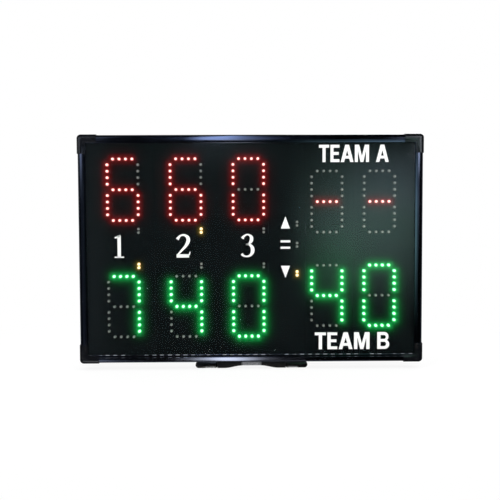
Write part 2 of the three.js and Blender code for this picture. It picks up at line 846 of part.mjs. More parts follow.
// Rubber strap: a grip whose underside arches up in the middle, with chamfered edges along the
// level stretch, and a tongue at each end with a slot for the screw
function addStrap() {
  const mouth = handleLength / 2 - handleCapLength - fit;
  const end = handleLength / 2 - strapEndInset;
  const base = handleFloorZ - handleCapHeight;
  const top = handleFloorZ - fit;
  const outline = [[mouth, top], [-mouth, top], [-mouth, base]];
  for (let i = -strapSteps; i <= strapSteps; i += 1) {
    const x = (strapArch * i) / (2 * strapSteps);
    const share = THREE.MathUtils.smoothstep(Math.abs(x), strapFlat / 2, strapArch / 2);
    outline.push([x, handleFloorZ - THREE.MathUtils.lerp(strapMiddleDrop, handleCapHeight, share)]);
  }
  outline.push([mouth, base]);
  const gripSide = handleCapWidth / 2;
  const grip = plateXZ(pointsOf(outline), [], trackY - gripSide, trackY + gripSide);
  const tongueLow = base + handleCapFloor + fit;
  const tongueSide = strapWidth / 2;
  const slotHalf = strapSlotWidth / 2;
  const tongues = [];
  const cuts = edgeCutters(-strapFlat / 2, strapFlat / 2, handleFloorZ - strapMiddleDrop, strapPadChamfer);
  for (const side of [-1, 1]) {
    const place = (reach) => [side * reach, side * (mouth - overrun)].sort((a, b) => a - b);
    tongues.push(block(
      ...place(end), trackY - tongueSide, trackY + tongueSide, tongueLow, tongueLow + strapThickness,
    ));
    const outer = handleScrewX;
    const inner = outer + strapSlotWidth - strapSlotLength;
    for (const x of [outer, inner]) {
      cuts.push(drillZ(side * x, trackY, slotHalf, base, handleFloorZ, holeSides));
    }
    const [low, high] = [side * outer, side * inner].sort((a, b) => a - b);
    cuts.push(block(low, high, trackY - slotHalf, trackY + slotHalf, base, handleFloorZ));
  }
  addPart('handle_strap', cut(join(grip, tongues), cuts), blackRubber);
}

// Cutters that chamfer the front and rear lower edges of the handle between two places along it
function edgeCutters(lowX, highX, base, chamfer) {
  return [-1, 1].map((side) => {
    const edge = trackY + (side * handleCapWidth) / 2;
    const section = [
      [edge - side * chamfer, base],
      [edge - side * chamfer, base - overrun],
      [edge + side * overrun, base - overrun],
      [edge + side * overrun, base + chamfer],
      [edge, base + chamfer],
    ];
    if (side < 0) section.reverse();
    return prismYZ(pointsOf(section), lowX, highX);
  });
}

// End cap at the strap's right end: round nose, flat base with the screw's recess, open mouth
function handleCap() {
  const nose = handleLength / 2;
  const mouth = nose - handleCapLength;
  const top = handleFloorZ - fit;
  const base = handleFloorZ - handleCapHeight;
  const noseMiddle = (top + base) / 2;
  const tall = (top - base) / 2;
  const shape = new THREE.Shape([
    ...arc(mouth + handleMouthRadius, base + handleMouthRadius, handleMouthRadius, 180, 270, 2),
    ...arc(nose - noseRadius, noseMiddle, tall, -90, 90, handleArcSteps),
    new THREE.Vector2(mouth, top),
  ]);
  const body = new THREE.ExtrudeGeometry(shape, {
    depth: handleCapWidth - 2 * handleCapEdge,
    bevelThickness: handleCapEdge,
    bevelSize: handleCapEdge,
    bevelOffset: -handleCapEdge,
    bevelSegments: 2,
  });
  body.rotateX(Math.PI / 2).translate(0, trackY + handleCapWidth / 2 - handleCapEdge, 0);
  const pocketSide = strapWidth / 2 + fit;
  const strapEnd = nose - strapEndInset + fit;
  const pocketLow = base + handleCapFloor;
  const pocket = block(
    mouth - overrun, strapEnd, trackY - pocketSide, trackY + pocketSide,
    pocketLow, pocketLow + strapThickness + 2 * fit,
  );
  const hole = drillZ(handleScrewX, trackY, handleHoleRadius, base - overrun, top + overrun, holeSides);
  const bore = drillZ(
    handleScrewX, trackY, handleBoreRadius, base - overrun, base + handleBoreDepth, handleScrewSides,
  );
  const lands = edgeCutters(
    handleScrewX - landLength / 2, handleScrewX + landLength / 2, base, landChamfer,
  );
  return cut(body, [pocket, hole, bore, ...lands]);
}

// Screw pointing up through cap, strap and frame; its head's underside at z = 0
function handleScrewShape() {
  const reach = handleCapHeight - handleBoreDepth + fit + sideWall + keyThickness;
  const profile = [
    [0, -handleHeadHeight],
    [handleHeadRadius, -handleHeadRim],
    [handleHeadRadius, 0],
    [handleShankRadius, 0],
    [handleShankRadius, reach],
    [0, reach],
  ];
  return revolve(profile, handleScrewSides).rotateX(Math.PI / 2);
}

function addHandle() {
  addStrap();
  const right = handleCap();
  addPart('handle_cap_right', right, blackPlastic);
  const left = right.clone().translate(0, -trackY, 0).rotateZ(Math.PI).translate(0, trackY, 0);
  addPart('handle_cap_left', left, blackPlastic);
  const seat = handleFloorZ - handleCapHeight + handleBoreDepth - fit;
  const plateLow = handleFloorZ + sideWall + fit;
  for (const [side, name] of [[-1, 'left'], [1, 'right']]) {
    const x = side * handleScrewX;
    addPart(`handle_screw_${name}`, handleScrewShape().translate(x, trackY, seat), brightSteel);
    const plate = block(
      x - nutPlateLength / 2, x + nutPlateLength / 2,
      trackY - keyWidth / 2, trackY + keyWidth / 2, plateLow, plateLow + keyThickness,
    );
    const thread = drillZ(
      x, trackY, handleHoleRadius, plateLow - overrun, plateLow + keyThickness + overrun, holeSides,
    );
    addPart(`handle_nut_plate_${name}`, cut(plate, [thread]), brightSteel);
  }
}

// Power switch, its long side upright; the rocker turns about a pivot along X
const bezelFace = panelRearY + fit + bezelHeight;
const pivotY = bezelFace - pivotDepth;
const switchBase = panelRearY + fit - switchBodyDepth;

function addSwitch() {
  const halfLength = switchLength / 2;
  const halfWidth = switchWidth / 2;
  const wellLength = halfLength - switchWall;
  const wellWidth = halfWidth - switchWall;
  const outX = halfWidth + bezelBorder;
  const outZ = halfLength + bezelBorder;
  const bezelOutline = [
    ...arc(outX - bezelCorner, outZ - bezelCorner, bezelCorner, 0, 90, 2),
    ...arc(bezelCorner - outX, outZ - bezelCorner, bezelCorner, 90, 180, 2),
    ...arc(bezelCorner - outX, bezelCorner - outZ, bezelCorner, 180, 270, 2),
    ...arc(outX - bezelCorner, bezelCorner - outZ, bezelCorner, 270, 360, 2),
  ];
  const seat = panelRearY + fit;
  const bezel = plateXZ(bezelOutline, [], seat, bezelFace);
  const body = block(-halfWidth, halfWidth, switchBase, bezelFace - fit, -halfLength, halfLength);
  const well = block(
    -wellWidth, wellWidth, bezelFace - wellDepth, bezelFace + overrun, -wellLength, wellLength,
  );
  const bearing = new THREE.CylinderGeometry(
    pivotHoleRadius, pivotHoleRadius, switchWidth + overrun, holeSides,
  );
  bearing.rotateZ(Math.PI / 2).translate(0, pivotY, 0);
  const joined = solidOf(bezel).add(solidOf(body));
  const shell = geometryOf(joined.subtract(solidOf(well)).subtract(solidOf(bearing)));
  addPart('switch_housing', shell.translate(switchX, 0, connectorZ), blackPlastic);

  for (const [name, side] of [['switch_terminal_low', -1], ['switch_terminal_high', 1]]) {
    const terminal = block(
      switchX - terminalWidth / 2, switchX + terminalWidth / 2,
      switchBase - fit - terminalLength, switchBase - fit,
      connectorZ + (side * terminalSpacing - terminalThickness) / 2,
      connectorZ + (side * terminalSpacing + terminalThickness) / 2,
    );
    addPart(name, terminal, brass);
  }
}

// Rocker about its pivot: dished top, skirts and keel, and the two pivot pins
function addRocker() {
  const halfLength = switchLength / 2 - switchWall - rockerEndGap;
  const halfWidth = switchWidth / 2 - switchWall - rockerSideGap;
  const dish = [];
  for (let i = -dishSteps; i <= dishSteps; i += 1) {
    const share = i / dishSteps;
    const height = THREE.MathUtils.lerp(rockerWaist, rockerTipHeight, share * share);
    dish.push([height, halfLength * share]);
  }
  const outline = [
    ...dish,
    [rockerSkirt, halfLength],
    [-rockerKeel, rockerKeel],
    [-rockerKeel, -rockerKeel],
    [rockerSkirt, -halfLength],
  ];
  const paddle = prismYZ(pointsOf(outline), -halfWidth, halfWidth);
  const pinHalf = halfWidth + rockerSideGap + pivotReach;
  const pin = new THREE.CylinderGeometry(pivotRadius, pivotRadius, 2 * pinHalf, pivotSides);
  pin.rotateZ(Math.PI / 2);
  const rocker = geometryOf(solidOf(paddle).add(solidOf(pin)));
  const mesh = addPart('power_rocker', rocker, blackPlastic);
  mesh.rotation.x = THREE.MathUtils.degToRad(rockerTilt);
  mesh.position.set(switchX, pivotY, connectorZ);
}

function addSocket() {
  const seat = panelRearY + fit;
  const face = seat + socketFlangeHeight;
  const base = seat - socketDepth;
  const floor = face - socketBoreDepth;
  const socket = revolve([
    [0, base],
    [socketBarrelRadius, base],
    [socketBarrelRadius, seat],
    [socketFlangeRadius, seat],
    [socketFlangeRadius, face - socketFlangeEdge],
    [socketFlangeRadius - socketFlangeEdge, face],
    [socketBoreRadius, face],
    [socketBoreRadius, floor],
    [socketPinRadius, floor],
    [socketPinRadius, face - socketPinShort],
    [0, face - socketPinShort],
  ], socketSides);
  addPart('dc_socket', socket.translate(socketX, 0, connectorZ), blackPlastic);
  const nutHole = ring(0, 0, socketBarrelRadius + 2 * fit, socketSides);
  const nutRear = panelFrontY - fit;
  const corner = socketNutWidth / 2 / Math.cos(Math.PI / 6);
  const nut = plateXZ(ring(0, 0, corner, 6), [nutHole], nutRear - socketNutHeight, nutRear);
  addPart('dc_socket_nut', nut.translate(socketX, 0, connectorZ), brightSteel);
}

// Control board behind the centre strip, with what is soldered to it
const controlX = (centreLeft + centreRight) / 2;
const controlRearY = panelFrontY - fit - controlSpacerHeight;
const controlFrontY = controlRearY - boardThickness;
const controlHeaderX = controlWidth / 2 - headerEdgeInset;
const plugZ = -controlHeight / 2 + plugInset;

// Block that stands on the front of the control board, about a place beside its middle
function onControl(x, z, width, height, length) {
  return block(
    controlX + x - width / 2, controlX + x + width / 2,
    controlFrontY - height, controlFrontY + sink,
    z - length / 2, z + length / 2,
  );
}

function addControlBoard() {
  const halfWidth = controlWidth / 2;
  const halfHeight = controlHeight / 2;
  const outline = rectangle(controlX - halfWidth, controlX + halfWidth, -halfHeight, halfHeight);
  const soldered = [];
  for (const signX of [-1, 1]) {
    for (const signZ of [-1, 1]) {
      const x = controlX + signX * (halfWidth - controlSpacerInset);
      const z = signZ * (halfHeight - controlSpacerInset);
      soldered.push(drillY(
        x, z, controlSpacerRadius, controlRearY - sink, panelFrontY - fit, pillarSides,
      ));
    }
    for (const side of [-1, 1]) {
      const x = signX * controlHeaderX;
      soldered.push(onControl(x, side * headerRow, headerWidth, headerHeight, headerLength));
    }
  }
  for (let i = 0; i < chipCount; i += 1) {
    const z = (i - (chipCount - 1) / 2) * chipPitch;
    soldered.push(onControl(0, z, chipWidth, chipHeight, chipLength));
  }
  for (const i of [-1, 0, 1]) {
    soldered.push(onControl(i * plugPitch, plugZ, plugSize, plugSize, plugSize));
  }
  const board = plateXZ(outline, [], controlFrontY, controlRearY);
  addPart('control_board', join(board, soldered), greenBoard);

  const front = controlFrontY - fit;
  for (const [name, i] of [['capacitor_low', 0], ['capacitor_high', 1]]) {
    const capacitor = drillY(
      controlX - receiverColumn, capacitorRow + i * capacitorPitch, capacitorRadius,
      front - capacitorHeight, front, capacitorSides,
    );
    addPart(name, capacitor, blueWrap);
  }
  const linkX = controlX + receiverColumn;
  const link = block(
    linkX - linkThickness / 2, linkX + linkThickness / 2, boardRearY + fit, front,
    -linkWidth / 2, linkWidth / 2,
  );
  addPart('board_link', link, chipBlack);
}

// Radio receiver on its pin strip, with a metal can and a wire antenna
function addReceiver() {
  const x = -receiverColumn;
  const z = -receiverDrop;
  const plateRear = receiverLift;
  const canRear = plateRear + receiverThickness;
  const strip = onControl(x, z, receiverStrip, receiverLift, receiverHeight - receiverStrip);
  const plate = onControl(x, z, receiverWidth, receiverThickness, receiverHeight);
  const can = onControl(x, z, receiverWidth - receiverStrip, receiverCanHeight, receiverCanLength);
  plate.translate(0, -plateRear, 0);
  can.translate(0, -canRear, 0);
  const module = join(plate, [strip, can]).translate(0, -(fit + sink), 0);
  addPart('receiver_module', module, greenBoard);
  const top = z - receiverHeight / 2 - fit;
  const wireY = controlFrontY - fit - plateRear - receiverThickness / 2;
  const wire = drillZ(
    controlX + x, wireY, antennaRadius, top - antennaLength, top, antennaSides,
  );
  addPart('receiver_antenna', wire, brass);
}

// Flat ribbons: over the back of a digit board's header, then in front of the control board's
function addRibbons() {
  const startY = boardRearY + fit + headerHeight + ribbonThickness / 2;
  const endY = controlFrontY - fit - headerHeight - ribbonThickness / 2;
  const routes = [
    ['sets', centreLeft - boardHeaderSetback, controlX - controlHeaderX],
    ['game', centreRight + boardHeaderSetback, controlX + controlHeaderX],
  ];
  for (const [kind, boardX, controlHeader] of routes) {
    const direction = Math.sign(controlHeader - boardX);
    const overlap = (direction * headerWidth) / 2;
    const middle = [[boardX - overlap, startY]];
    for (let i = 0; i <= ribbonSteps; i += 1) {
      const share = THREE.MathUtils.smoothstep(i, 0, ribbonSteps);
      const x = THREE.MathUtils.lerp(boardX + overlap, controlHeader - overlap, i / ribbonSteps);
      middle.push([x, THREE.MathUtils.lerp(startY, endY, share)]);
    }
    middle.push([controlHeader + overlap, endY]);
    const rise = ribbonThickness / 2;
    const shape = new THREE.Shape(pointsOf([
      ...middle.map(([x, y]) => [x, y - rise]),
      ...middle.map(([x, y]) => [x, y + rise]).reverse(),
    ]));
    const width = headerLength - 2 * rise;
    for (const [team, side] of [['home', 1], ['guest', -1]]) {
      const ribbon = new THREE.ExtrudeGeometry(shape, { depth: width, bevelEnabled: false });
      ribbon.translate(0, 0, side * headerRow - width / 2);
      addPart(`ribbon_${team}_${kind}`, ribbon, greyRibbon);
    }
  }
}

// Shrink-wrapped cells lying side by side, held by a strap over their middle
const batteryX = frameWidth * batteryColumnShare;
const batteryZ = frameHeight * guestSetShare;
const batteryMiddleY = panelFrontY - fit - batteryThickness / 2;
const batteryEnd = cellLength / 2 + cellWrap;

function addBattery() {
  const radius = batteryThickness / 2;
  const reach = ((cellCount - 1) * cellDiameter) / 2;
  const outline = [
    ...arc(batteryMiddleY, batteryZ + reach, radius, 0, 180, batterySteps),
    ...arc(batteryMiddleY, batteryZ - reach, radius, 180, 360, batterySteps),
  ];
  addPart('battery_pack', prismYZ(outline, batteryX - batteryEnd, batteryX + batteryEnd), blueWrap);

  const inside = reach + radius + fit;
  const outside = inside + clampWall;
  const foot = outside + clampFoot;
  const footRear = panelFrontY - fit;
  const footFront = footRear - clampWall;
  const overRear = batteryMiddleY - radius - fit;
  const overFront = overRear - clampWall;
  const section = [
    [footRear, -foot], [footFront, -foot], [footFront, -outside], [overFront, -outside],
    [overFront, outside], [footFront, outside], [footFront, foot], [footRear, foot],
    [footRear, inside], [overRear, inside], [overRear, -inside], [footRear, -inside],
  ];
  const clamp = prismYZ(pointsOf(section), batteryX - clampWidth / 2, batteryX + clampWidth / 2);
  addPart('battery_clamp', clamp.translate(0, 0, batteryZ), brightSteel);
}

// Round lead along a smooth curve through its points
function lead(name, places) {
  const curve = new THREE.CatmullRomCurve3(places.map((place) => new THREE.Vector3(...place)));
  const shape = new THREE.Shape(ring(0, 0, leadRadius, leadSides));
  const tube = new THREE.ExtrudeGeometry(shape, { extrudePath: curve, steps: leadSteps });
  addPart(name, tube, blackRubber);
}

function addLeads() {
  const plugY = controlFrontY - plugSize / 2;
  const plugLow = plugZ - plugSize / 2 - fit;
  const plugRoute = (i) => [
    [controlX + i * plugPitch, plugY, plugLow - leadEnd],
    [controlX + i * plugPitch, plugY, plugLow],
  ];
  const batteryStart = batteryX + batteryEnd + fit;
  lead('battery_lead', [
    [batteryStart, batteryMiddleY, batteryZ],
    [batteryStart + leadEnd, batteryMiddleY, batteryZ],
    ...plugRoute(-1),
  ]);
  const terminalY = switchBase - fit - terminalLength / 2;
  const switchStart = switchX - terminalWidth / 2 - fit;
  lead('switch_lead', [
    [switchStart, terminalY, connectorZ + terminalSpacing / 2],
    [switchStart - leadEnd, terminalY, connectorZ + terminalSpacing / 2],
    ...plugRoute(1),
  ]);
  const socketRear = panelRearY + fit - socketDepth - fit;
  const under = connectorZ - switchLength;
  lead('socket_lead', [
    [socketX, socketRear, connectorZ],
    [socketX, socketRear - leadEnd / 2, connectorZ],
    [switchX, terminalY, under],
    ...plugRoute(0),
  ]);
}

addFrame();
addCornerKeys();
addCornerCaps();
addWindow();
addDigitBoards();
addServeBoard();
addBackPanel();
addHangers();
addBumpers();
addHandle();
addSwitch();
addRocker();
addSocket();
addControlBoard();
addReceiver();
addRibbons();
addBattery();
addLeads();

export default scoreboard;
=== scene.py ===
import math
import statistics

import bmesh
import bpy
from mathutils import Matrix, Vector
from mathutils.geometry import delaunay_2d_cdt


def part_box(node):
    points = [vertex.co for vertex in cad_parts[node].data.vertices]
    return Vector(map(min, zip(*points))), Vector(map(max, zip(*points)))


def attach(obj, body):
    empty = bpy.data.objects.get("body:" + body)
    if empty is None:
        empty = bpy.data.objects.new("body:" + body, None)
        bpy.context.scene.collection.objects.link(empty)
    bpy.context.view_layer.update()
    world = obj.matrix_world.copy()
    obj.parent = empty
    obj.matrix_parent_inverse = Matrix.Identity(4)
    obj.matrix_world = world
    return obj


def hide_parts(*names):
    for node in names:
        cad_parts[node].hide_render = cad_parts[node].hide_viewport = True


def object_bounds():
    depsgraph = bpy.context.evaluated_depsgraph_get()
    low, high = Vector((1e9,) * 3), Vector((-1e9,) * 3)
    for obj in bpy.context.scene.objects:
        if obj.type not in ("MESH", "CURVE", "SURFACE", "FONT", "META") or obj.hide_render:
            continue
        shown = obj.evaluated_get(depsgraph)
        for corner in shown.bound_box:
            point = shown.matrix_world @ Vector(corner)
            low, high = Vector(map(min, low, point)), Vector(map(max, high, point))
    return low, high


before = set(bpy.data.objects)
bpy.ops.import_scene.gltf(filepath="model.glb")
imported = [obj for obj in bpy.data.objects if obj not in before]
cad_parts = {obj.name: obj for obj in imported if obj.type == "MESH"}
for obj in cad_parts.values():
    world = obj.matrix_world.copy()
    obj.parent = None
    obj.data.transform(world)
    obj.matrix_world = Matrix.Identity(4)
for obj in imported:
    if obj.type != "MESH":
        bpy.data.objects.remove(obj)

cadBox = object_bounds()
mm = 0.001
scene = bpy.context.scene
print("frame loaded with", len(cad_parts), "nodes")


# Places in millimetres, read from the frame

def boxOf(node):
    low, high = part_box(node)
    return low / mm, high / mm


def middleOf(node):
    low, high = boxOf(node)
    return (low + high) / 2


def placed(x, y, z, degrees=0, axis="Y"):  # moved to a place, and turned there
    return Matrix.Translation((x * mm, y * mm, z * mm)) @ Matrix.Rotation(math.radians(degrees), 4, axis)


# Shapes: outlines and profiles are in millimetres, meshes in metres

mergeReach = 0.001  # points this near to each other become one
thinnest = 0.0004  # radius that stands for a point on an axis


def arcPoints(x, y, radius, start, end, steps, tall=None):  # tall: the radius along the second axis
    tall = radius if tall is None else tall
    angles = [math.radians(start + (end - start) * i / steps) for i in range(steps + 1)]
    return [(x + radius * math.cos(a), y + tall * math.sin(a)) for a in angles]


def circle(x, y, radius, steps, start=0):
    return arcPoints(x, y, radius, start, start + 360, steps)[:-1]


def roundedBox(lowX, highX, lowY, highY, radius, steps=5):
    corners = ((highX - radius, highY - radius), (lowX + radius, highY - radius),
               (lowX + radius, lowY + radius), (highX - radius, lowY + radius))
    return [point for i, (x, y) in enumerate(corners)
            for point in arcPoints(x, y, radius, 90 * i, 90 * i + 90, steps)]


def pairsRound(count):  # each number with the next, and the last with the first
    return [(i, (i + 1) % count) for i in range(count)]


def rawMesh(points, faces):
    mesh = bpy.data.meshes.new("shape")
    mesh.from_pydata([[c * mm for c in point] for point in points], [], faces)
    return mesh


def edited(mesh, change=None):  # makes the change and turns the faces outwards
    work = bmesh.new()
    work.from_mesh(mesh)
    if change:
        change(work)
    bmesh.ops.recalc_face_normals(work, faces=work.faces)
    work.to_mesh(mesh)
    work.free()
    return mesh


def mended(mesh):  # merges points that meet
    def merge(work):
        bmesh.ops.remove_doubles(work, verts=work.verts, dist=mergeReach * mm)
        bmesh.ops.dissolve_degenerate(work, edges=work.edges, dist=mergeReach / 2 * mm)
    return edited(mesh, merge)


def joined(meshes):  # several closed shells that make one moulded or folded piece
    work = bmesh.new()
    for mesh in meshes:
        work.from_mesh(mesh)
    whole = bpy.data.meshes.new("shape")
    work.to_mesh(whole)
    work.free()
    return whole


# Loft through rings of points that all have the same count, closed at both ends
def loft(rings):
    count = len(rings[0])
    last = (len(rings) - 1) * count
    faces = [(row + j, row + k, row + count + k, row + count + j)
             for row in range(0, last, count) for j, k in pairsRound(count)]
    faces += [tuple(range(count)), tuple(range(last, last + count))]
    return mended(rawMesh([point for ring in rings for point in ring], faces))


# Outline drawn out along one axis: 0, 1 or 2 for X, Y or Z
def prism(outline, axis, ends):
    return loft([[(*point[:axis], end, *point[axis:]) for point in outline] for end in ends])


# Profile of (radius, depth) pairs turned about an axis along Y
def turned(profile, sides, x=0, z=0):
    return loft([[(px, depth, pz) for px, pz in circle(x, z, max(radius, thinnest), sides)]
                 for radius, depth in profile])


def filledCurve(outlines):
    curve = bpy.data.curves.new("outline", "CURVE")
    curve.dimensions = "2D"
    curve.fill_mode = "BOTH"
    for outline in outlines:
        spline = curve.splines.new("POLY")
        spline.points.add(len(outline) - 1)
        for point, (x, y) in zip(spline.points, outline):
            point.co = (x * mm, y * mm, 0, 1)
        spline.use_cyclic_u = True
    return curve


# Flat plate seen from the front, with holes, rounded all along its edges
def plate(outlines, front, rear, rounding=0.3, steps=2):
    wound = []
    for number, outline in enumerate(outlines):
        turn = sum(a[0] * b[1] - b[0] * a[1] for a, b in zip(outline, outline[1:] + outline[:1]))
        wound.append(outline[::-1] if (turn > 0) == (number > 0) else outline)
    curve = filledCurve(wound)
    curve.extrude = ((rear - front) / 2 - rounding) * mm
    curve.bevel_depth = rounding * mm
    curve.bevel_resolution = steps
    curve.offset = -rounding * mm
    mesh = solidMesh(curve)
    mesh.transform(placed(0, (front + rear) / 2, 0, 90, "X"))
    return mended(mesh)


def solidMesh(data, cutters=()):  # the mesh that a curve, or a mesh cut by others, ends up as
    shape = bpy.data.objects.new("shape", data)
    scene.collection.objects.link(shape)
    for cutter in cutters:
        cut = shape.modifiers.new("cut", "BOOLEAN")
        cut.operation, cut.solver, cut.object = "DIFFERENCE", "EXACT", cutter
    bpy.context.view_layer.update()
    graph = bpy.context.evaluated_depsgraph_get()
    mesh = bpy.data.meshes.new_from_object(shape.evaluated_get(graph))
    bpy.data.objects.remove(shape)
    return mesh


def cutBy(mesh, cutters):
    tools = [bpy.data.objects.new("cutter", cutter) for cutter in cutters]
    for tool in tools:
        scene.collection.objects.link(tool)
    result = solidMesh(mesh, tools)
    for tool in tools:
        bpy.data.objects.remove(tool)
    return mended(result)


def addPiece(name, mesh, material, slotName, replaced=(), body="case", turn=None, sharp=35, edge=0):
    mesh.name = name
    piece = bpy.data.objects.new(name, mesh)
    scene.collection.objects.link(piece)
    if not mesh.materials:
        mesh.materials.append(material)
    mesh.shade_smooth()
    mesh.set_sharp_from_angle(angle=math.radians(sharp))
    if turn:
        piece.matrix_world = turn
    if edge:
        bevel = piece.modifiers.new("edge", "BEVEL")
        bevel.width = edge * mm
        bevel.segments = 2
        bevel.limit_method = "ANGLE"
        bevel.angle_limit = math.radians(sharp)
        bevel.harden_normals = True
    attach(piece, body)
    if replaced:
        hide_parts(*replaced)


def addMade(node, making, mesh, material, slotName, **more):  # a piece that takes one node's place
    addPiece(f"{node}_{making}", mesh, material, slotName, [node], **more)


# Nodes: an input is a socket to link, a colour in hex, or a plain value

def linearColour(hexText):
    parts = [int(hexText[i:i + 2], 16) / 255 for i in (1, 3, 5)]
    return [p / 12.92 if p <= 0.04045 else ((p + 0.055) / 1.055) ** 2.4 for p in parts] + [1]


def feed(material, node, inputs):
    for name, value in inputs.items():
        if isinstance(value, bpy.types.NodeSocket):
            material.node_tree.links.new(value, node.inputs[name])
        else:
            node.inputs[name].default_value = linearColour(value) if isinstance(value, str) else value


def addNode(material, kind, inputs, **settings):
    node = material.node_tree.nodes.new("ShaderNode" + kind)
    for name, value in settings.items():
        setattr(node, name, value)
    feed(material, node, inputs)
    return node


def maths(material, operation, first, second=0.0):
    return addNode(material, "Math", {0: first, 1: second}, operation=operation).outputs[0]


def product(material, first, *others):
    for other in others:
        first = maths(material, "MULTIPLY", first, other)
    return first


def ramp(material, source, start, end, low=0.0, high=1.0, kind="LINEAR"):
    return addNode(material, "MapRange", {
        "Value": source, "From Min": start, "From Max": end, "To Min": low, "To Max": high},
        interpolation_type=kind).outputs[0]


def mixColour(material, share, first, second):
    return addNode(material, "Mix", {0: share, 6: first, 7: second}, data_type="RGBA").outputs[2]


def objectPlace(material):
    return addNode(material, "TexCoord", {}).outputs["Object"]


def partsOf(material, vector):
    return addNode(material, "SeparateXYZ", {"Vector": vector}).outputs


def noise(material, place, size, detail, **more):  # cloudy pattern, its size in millimetres
    inputs = {"Vector": place, "Scale": 1 / (size * mm), "Detail": detail, **more}
    return addNode(material, "TexNoise", inputs).outputs["Fac"]


def heldValue(material, name, output="Fac"):  # what the mesh itself holds at each point
    return addNode(material, "Attribute", {}, attribute_name=name).outputs[output]


def newMaterial(name, look=None):  # with a look: its shader too; without: an empty tree
    material = bpy.data.materials.new(name)
    material.use_nodes = True
    if look is None:
        material.node_tree.nodes.clear()
        return material
    feed(material, shaderOf(material), look)
    return material


def shaderOf(material):
    return material.node_tree.nodes["Principled BSDF"]


# Materials. A surface has a grain of a real size in millimetres along X, Y and Z: it moves the colour
# between two shades and the height by a depth in millimetres. Broader patches, in millimetres too,
# move the roughness between two values
def grainSurface(name, look, size, shades, rough, depth, patch):
    material = newMaterial(name, look)
    place = objectPlace(material)
    sizes = size if isinstance(size, tuple) else [size] * 3
    sized = addNode(material, "Mapping", {"Vector": place, "Scale": [1 / (s * mm) for s in sizes]})
    fine = addNode(material, "TexNoise", {
        "Vector": sized.outputs["Vector"], "Scale": 1, "Detail": 3, "Roughness": 0.6}).outputs["Fac"]
    broad = noise(material, place, patch, 4)
    spread = ramp(material, product(material, fine, broad), 0.15, 0.4)
    height = addNode(material, "Bump", {"Height": fine, "Strength": 0.5, "Distance": depth * mm})
    feed(material, shaderOf(material), {
        "Base Color": mixColour(material, spread, *shades),
        "Roughness": ramp(material, broad, 0.3, 0.7, *rough), "Normal": height.outputs[0]})
    return material


# Anodised aluminium, extruded, polished and dyed black: a clear deep gloss that shows the room as
# thin lines along its edges. Die lines run the length of each bar; they are 0.05 mm apart on a real
# bar and drawn ten times coarser, so that they show
anodisedAluminium = grainSurface(
    "anodised_aluminium_extruded", {"Metallic": 1}, size=(90, 0.5, 0.5), shades=("#303440", "#404551"),
    rough=(0.06, 0.1), depth=0.003, patch=80)

# The lower bar's edges carry a painted highlight in short regular dashes: pale and matt. Each band is a
# range of distance from the bar's outer side, the distance from its middle where the dashes begin,
# and how strong they are painted
dashHighlightLook = {
    "pitch": 15.5, "fade": 1.6, "shade": "#a9adb4", "rough": 0.45, "frontOnly": 1.6, "uneven": 26.0,
    "between": 0.22,  # how strong the painted highlight is in the stretches between two dashes
    "bands": {"lip": (15.3, 16.1, 0, 1.0), "bead": (10.3, 11.1, 105, 0.35)},
    "bandFade": 0.1, "clearFade": 15, "depthFade": 0.2,
}


def paintDashHighlights(name, plain):
    look = dashHighlightLook
    material = plain.copy()
    material.name = name
    place = objectPlace(material)
    x, y, z = partsOf(material, place)

    def rising(source, start, end, low=0.0, high=1.0):
        return ramp(material, source, start * mm, end * mm, low, high)

    wave = maths(material, "PINGPONG", x, look["pitch"] / 2 * mm)
    middle, fade = look["pitch"] / 4, look["fade"] / 2
    dashes = rising(wave, middle - fade, middle + fade, look["between"])
    uneven = ramp(material, noise(material, place, look["uneven"], 2), 0.3, 0.62)
    inward = maths(material, "MULTIPLY", z, -1.0)
    deep, along = maths(material, "ABSOLUTE", y), maths(material, "ABSOLUTE", x)
    whole = 0.0
    for start, end, clear, share in look["bands"].values():
        soft, clearFade = look["bandFade"], look["clearFade"]
        band = product(material, rising(inward, start - soft, start + soft, 0, share),
                       rising(inward, end + soft, end - soft))
        if clear:
            band = product(material, band, rising(along, clear - clearFade, clear + clearFade))
        whole = maths(material, "MAXIMUM", whole, band)
    frontOnly = rising(deep, look["frontOnly"], look["frontOnly"] - look["depthFade"])
    paintedHighlight = product(material, whole, dashes, uneven, frontOnly)
    shader = shaderOf(material)
    dyed, smooth = [shader.inputs[name].links[0].from_socket for name in ("Base Color", "Roughness")]
    feed(material, shader, {
        "Base Color": mixColour(material, paintedHighlight, dyed, look["shade"]),
        "Roughness": ramp(material, paintedHighlight, 0, 1, smooth, look["rough"]),
        "Metallic": ramp(material, paintedHighlight, 0, 1, 1, 0)})
    return material


dashHighlightedAluminium = paintDashHighlights("anodised_aluminium_painted_dash_highlight", anodisedAluminium)

# ABS, injection-moulded against a spark-eroded tool: an even fine grain that breaks up the gloss
mouldedAbs = grainSurface(
    "abs_moulded_spark_grain", {"IOR": 1.54, "Specular IOR Level": 0.3}, size=0.35,
    shades=("#050609", "#0d0e12"), rough=(0.1, 0.17), depth=0.006, patch=15)

# Nylon, moulded: smoother than the ABS, with a waxy sheen
mouldedNylon = grainSurface(
    "nylon_moulded", {"IOR": 1.53, "Specular IOR Level": 0.25}, size=0.6,
    shades=("#050506", "#0c0c0e"), rough=(0.09, 0.14), depth=0.006, patch=9)

# EPDM rubber, moulded: dull, with a grey painted highlight over the grip's middle
mouldedRubber = grainSurface(
    "rubber_moulded", {"IOR": 1.52, "Specular IOR Level": 0.1}, size=0.5,
    shades=("#050506", "#0e0e10"), rough=(0.34, 0.46), depth=0.03, patch=12)
